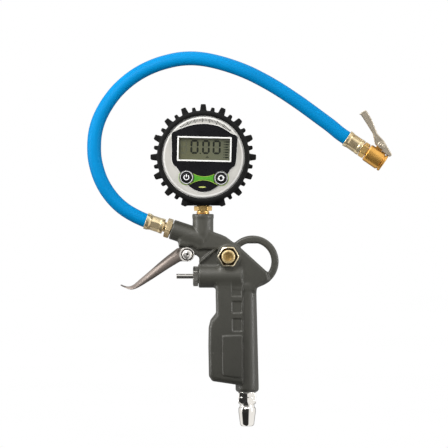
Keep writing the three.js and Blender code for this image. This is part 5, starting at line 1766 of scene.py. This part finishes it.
def depressor():
    """The pin that opens the tyre valve, on a disc with three vents."""
    profile = fillet([
        (-13.6, 0), (-13.6, 3.5, 0.2), (-12.4, 3.5, 0.2), (-12.4, 0.8, 0.3), (-7.2, 0.8, 0.3),
        (-7.0, 0.4, 0.1), (-7.0, 0),
    ], 0.1)
    vents = [lathe([(-15, 0), (-15, 0.8), (-11, 0.8), (-11, 0)], CHUCK_AT, "x", 20,
                   at=(0, 2.1 * math.cos(rad(a)), 2.1 * math.sin(rad(a))))
             for a in (0, 120, 240)]
    return boolean(lathe(profile, CHUCK_AT, "x", 64), (CUT, vents))


piece("chuck_barrel", chuck_barrel(), "brass_chuck", "chuck_end", "chuck_body",
      angle=30)
seal = fillet_loop([(-11.6, 1.9), (-11.6, 4.0), (-9.4, 4.0), (-9.4, 2.2)], 0.3)
piece("chuck_rubber_seal", lathe(seal, CHUCK_AT, "x", 64, True), "seal", "chuck_end",
      "chuck_seal")
piece("valve_depressor", depressor(), "brass", "chuck_end", "depressor_pin")

LEVER_CHEEK = [
    (-38.1, 22.3, 0.8), (-36.4, 26.4, 0.8), (-35.2, 26.9, 0.6), (-27.1, 23.1, 2),
    (-19.4, 17.9, 2), (-17.6, 16.6, 3), (-10.0, 14.9, 6), (1.2, 9.6, 0.4), (1.5, 8.2, 0.3),
    (0.9, 7.2, 0.3), (-5.2, 7.1, 0.6), (-7.6, 8.2, 0.8), (-11.0, 8.3, 0.6), (-14.4, 9.0, 0.8),
    (-20.6, 14.9, 2), (-28.6, 18.4, 2),
]
LEVER_TOP = [
    (-38.4, 21.5, 0.2), (-36.5, 26.5, 1.0), (-35.2, 26.9, 0.8), (-27.1, 23.1, 2),
    (-19.4, 17.9, 2), (-17.6, 16.6, 3), (-10.0, 14.9, 6), (1.3, 9.6, 0.3), (-0.3, 8.9, 0.3),
    (-10.4, 13.7, 5), (-18.0, 15.3, 2), (-19.8, 16.5, 2), (-27.5, 21.9, 2), (-35.5, 25.6, 1),
    (-37.5, 21.6, 0.2),
]
LEVER_LIMIT = [                     # everything below the lever's rounded back
    (-60, 10), (-36.6, 26.6), (-35.2, 27.0), (-27.1, 23.2), (-19.4, 18.0), (-17.6, 16.7),
    (-10.0, 15.0), (1.3, 9.7), (4, 7), (4, -20), (-60, -20),
]
LEVER_TOOTH = [(-1.6, 3.7), (-0.4, 3.7), (-0.2, 9.3), (-1.6, 9.9)]
TAB_BEND = (-27.1, 23.1)            # where the grip grooves start
TAB_SLOPE = rad(-33.7)


def lever():
    grid = Grid((-39.4, -5, 2.6), (2.4, 5, 28), 0.25)
    cheeks = rounded(grid.outline(fillet_loop(LEVER_CHEEK, 0.4)),
                     np.abs(grid.side - 3.55) - 0.55, 0.22)
    field = union(cheeks, grid.plate(fillet_loop(LEVER_TOP, 0.3), 3.9, 0.2), 0.5)
    # the top edges are folded over with a soft bend
    field = common(field, grid.plate(fillet_loop(LEVER_LIMIT, 0.5), 4.12, 0.95), 0.3)
    # grip grooves pressed across the middle of the tab
    c, s = math.cos(TAB_SLOPE), math.sin(TAB_SLOPE)
    along = (grid.x - TAB_BEND[0]) * c + (grid.z - TAB_BEND[1]) * s
    above = -(grid.x - TAB_BEND[0]) * s + (grid.z - TAB_BEND[1]) * c
    for k in range(5):
        field = cut(field, np.hypot(along - (0.5 + 1.75 * k), above - 0.15) - 0.5, 0.15)
    radius = grid.radius(LEVER_PIVOT)
    field = union(field, rounded(radius - 2.7, np.abs(grid.side - 3.6) - 0.6, 0.2), 0.5)
    field = union(field, grid.plate(fillet_loop(LEVER_TOOTH, 0.2), 2.1, 0.2), 0.3)
    return grid.mesh(cut(field, radius - 1.3), CHUCK_AT)


piece("chuck_clip_lever", lever(), "stamped", "chuck_lever", "chuck_lever",
      angle=45)
rivet = fillet([
    (-4.75, 0), (-4.7, 0.9, 0.3), (-4.4, 1.45, 0.1), (-4.35, 1.2, 0.05), (4.35, 1.2, 0.05),
    (4.4, 1.45, 0.1), (4.7, 0.9, 0.3), (4.75, 0),
], 0.05)
piece("chuck_lever_rivet", lathe(dense(rivet, 0.5), CHUCK_AT, "y", 64,
                                 at=(LEVER_PIVOT[0], 0, LEVER_PIVOT[1])),
      "stamped", "chuck_end", "chuck_lever_pin")
coil = [(y + LEVER_PIVOT[0], x + 1.78, z + LEVER_PIVOT[1])
        for x, y, z in helix(1.75, 1.75, 1.0, 1.6, 30)]
piece("chuck_lever_torsion_spring", tube(coil, 0.3, 10, CHUCK_AT), "spring", "chuck_end",
      "chuck_lever_spring")

# ------------------------------------------------------------------ CAD pieces that stay
STAY = {
    "gland_o_ring": "seal", "valve_seat_cage": "brass_dull", "valve_seal": "seal",
    "inlet_filter": "brass_dull", "bleed_seal": "seal", "stem_seal": "seal",
    "zebra_connector": "zebra", "main_pcb": "pcb", "on_key_switch": "switch",
    "func_key_switch": "switch", "pressure_sensor": "sensor", "sensor_ribbon": "ribbon",
}
for name, material in STAY.items():
    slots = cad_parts[name].data.materials
    slots.clear()
    slots.append(MATERIALS[material])
for name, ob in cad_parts.items():
    if not ob.hide_render and name not in STAY:
        raise RuntimeError("no finish for " + name)

# ------------------------------------------------------------------ floor and studio
FLOOR_HALF, FLOOR_Z = 6000, -26
floor_mesh = raw_mesh("floor", [(x, z, FLOOR_Z) for x, z in rectangle(
    -FLOOR_HALF, FLOOR_HALF, -FLOOR_HALF, FLOOR_HALF)], [[0, 1, 2, 3]])
floor = add_object("floor", floor_mesh)
floor_shader = Shader("floor_pale", principled=False)
floor_mesh.materials.append(floor_shader.material)

# the dark card: its middle, and where its soft edge starts and ends, in degrees
DARK_CENTRE, DARK_IN, DARK_OUT = 26, 42, 58
DARK_LEVEL, BRIGHT_LEVEL, MID_LEVEL, TOP_LEVEL = 0.025, 1.0, 0.36, 1.1


def studio(nodes, vector, sign):
    """Brightness of the studio in a direction: a dark card behind the camera, bright round
    and above. sign is -1 for a vector that points back at the viewer."""
    x, y, z = nodes.node("SeparateXYZ", Vector=vector).outputs
    if sign < 0:
        x, y, z = (nodes.math("MULTIPLY", value, -1.0) for value in (x, y, z))
    # 0 towards the camera, positive to the right
    azimuth = nodes.math("ARCTAN2", x, nodes.math("MULTIPLY", y, -1.0))
    off_card = nodes.math("ABSOLUTE", nodes.math("ADD", azimuth, rad(DARK_CENTRE)))
    side = nodes.smooth_step(off_card, rad(DARK_IN), rad(DARK_OUT))
    behind = nodes.smooth_step(nodes.math("ABSOLUTE", azimuth), rad(122), rad(150))
    dimmed = nodes.math("SUBTRACT", 1.0, nodes.math("MULTIPLY", behind, 0.70))
    side = nodes.math("MULTIPLY", side, dimmed)
    low = nodes.math("MULTIPLY", nodes.smooth_step(z, -0.040, -0.018), MID_LEVEL)
    top = nodes.smooth_step(z, 0.40, 0.70)
    level = nodes.math("ADD", nodes.math("MULTIPLY", side, BRIGHT_LEVEL), DARK_LEVEL)
    level = nodes.math("MAXIMUM", level, low)
    return nodes.math("MAXIMUM", level, nodes.math("MULTIPLY", top, TOP_LEVEL))


def by_ray(nodes, output, kind, pattern, diffuse, seen):
    """Camera rays see the level seen, glossy rays the pattern, the rest an even light."""
    path = nodes.node("LightPath").outputs
    even, glossy, camera = (
        nodes.node(kind, Color=colour, Strength=level).outputs[0]
        for level, colour in ((diffuse, (1.0, 0.995, 0.985)), (pattern, (1.0, 0.985, 0.955)),
                              (seen, (1, 1, 1))))
    mixed = nodes.mix_shaders(path["Is Glossy Ray"], even, glossy)
    mixed = nodes.mix_shaders(path["Is Camera Ray"], mixed, camera)
    nodes.feed(output.inputs[0], mixed)


world = bpy.data.worlds.new("studio")
bpy.context.scene.world = world
world.use_nodes = True
sky = Nodes(world.node_tree)
sky_output = sky.node("OutputWorld")
sky_pattern = studio(sky, sky.node("TexCoord").outputs["Generated"], 1)
by_ray(sky, sky_output, "Background", sky_pattern, diffuse=0.55, seen=1.0)

incoming = floor_shader.node("NewGeometry").outputs["Incoming"]
mottle = floor_shader.math("MULTIPLY", floor_shader.noise(scale=3, detail=2), 0.02)
pale = floor_shader.math("ADD", mottle, 0.99)
floor_pattern = floor_shader.math("MULTIPLY", studio(floor_shader, incoming, -1), 0.95)
by_ray(floor_shader, floor_shader.output, "Emission", floor_pattern, diffuse=0.14, seen=pale)


# ------------------------------------------------------------------ lights and camera
def area_light(name, at, target, size, power, colour=(1, 1, 1), mirrored=True):
    data = bpy.data.lights.new(name, "AREA")
    data.shape = "RECTANGLE"
    data.size, data.size_y = size
    data.energy = power
    data.color = colour
    ob = add_object(name, data)
    ob.location = at
    ob.rotation_euler = (Vector(target) - Vector(at)).to_track_quat("-Z", "Y").to_euler()
    ob.visible_glossy = mirrored


area_light("key", at=(-0.24, -0.40, 0.50), target=(-0.02, 0, 0.17), size=(0.26, 0.26),
           power=2.2, colour=(1.0, 0.985, 0.96))
area_light("front", at=(0.05, -1.10, 0.28), target=(-0.01, 0, 0.16), size=(0.6, 0.6),
           power=1.8, colour=(1.0, 0.995, 0.985), mirrored=False)
area_light("strip_left", at=(-0.80, -0.20, 0.24), target=(0, 0, 0.16), size=(0.14, 0.75),
           power=4.0, colour=(1.0, 0.99, 0.97))
area_light("strip_right", at=(0.78, -0.30, 0.18), target=(0, 0, 0.14), size=(0.12, 0.70),
           power=3.4, colour=(1.0, 0.995, 0.99))
area_light("overhead", at=(0.0, 0.02, 1.0), target=(0, 0, 0.15), size=(0.7, 0.7), power=2.2)

DISTANCE = 2.4
VIEW_WIDTH = 0.3584                 # width seen at the gun's middle plane
SENSOR = 36.0
camera_data = bpy.data.cameras.new("camera")
camera_data.sensor_width = SENSOR
camera_data.lens = SENSOR * DISTANCE / VIEW_WIDTH
camera_data.clip_start, camera_data.clip_end = 0.01, 30.0
camera = add_object("camera", camera_data)
camera.location = (-0.0121, -DISTANCE, 0.1616)
camera.rotation_euler = (math.pi / 2, 0, 0)
scene = bpy.context.scene
scene.camera = camera
scene.view_settings.view_transform = "Standard"
scene.view_settings.look = "None"
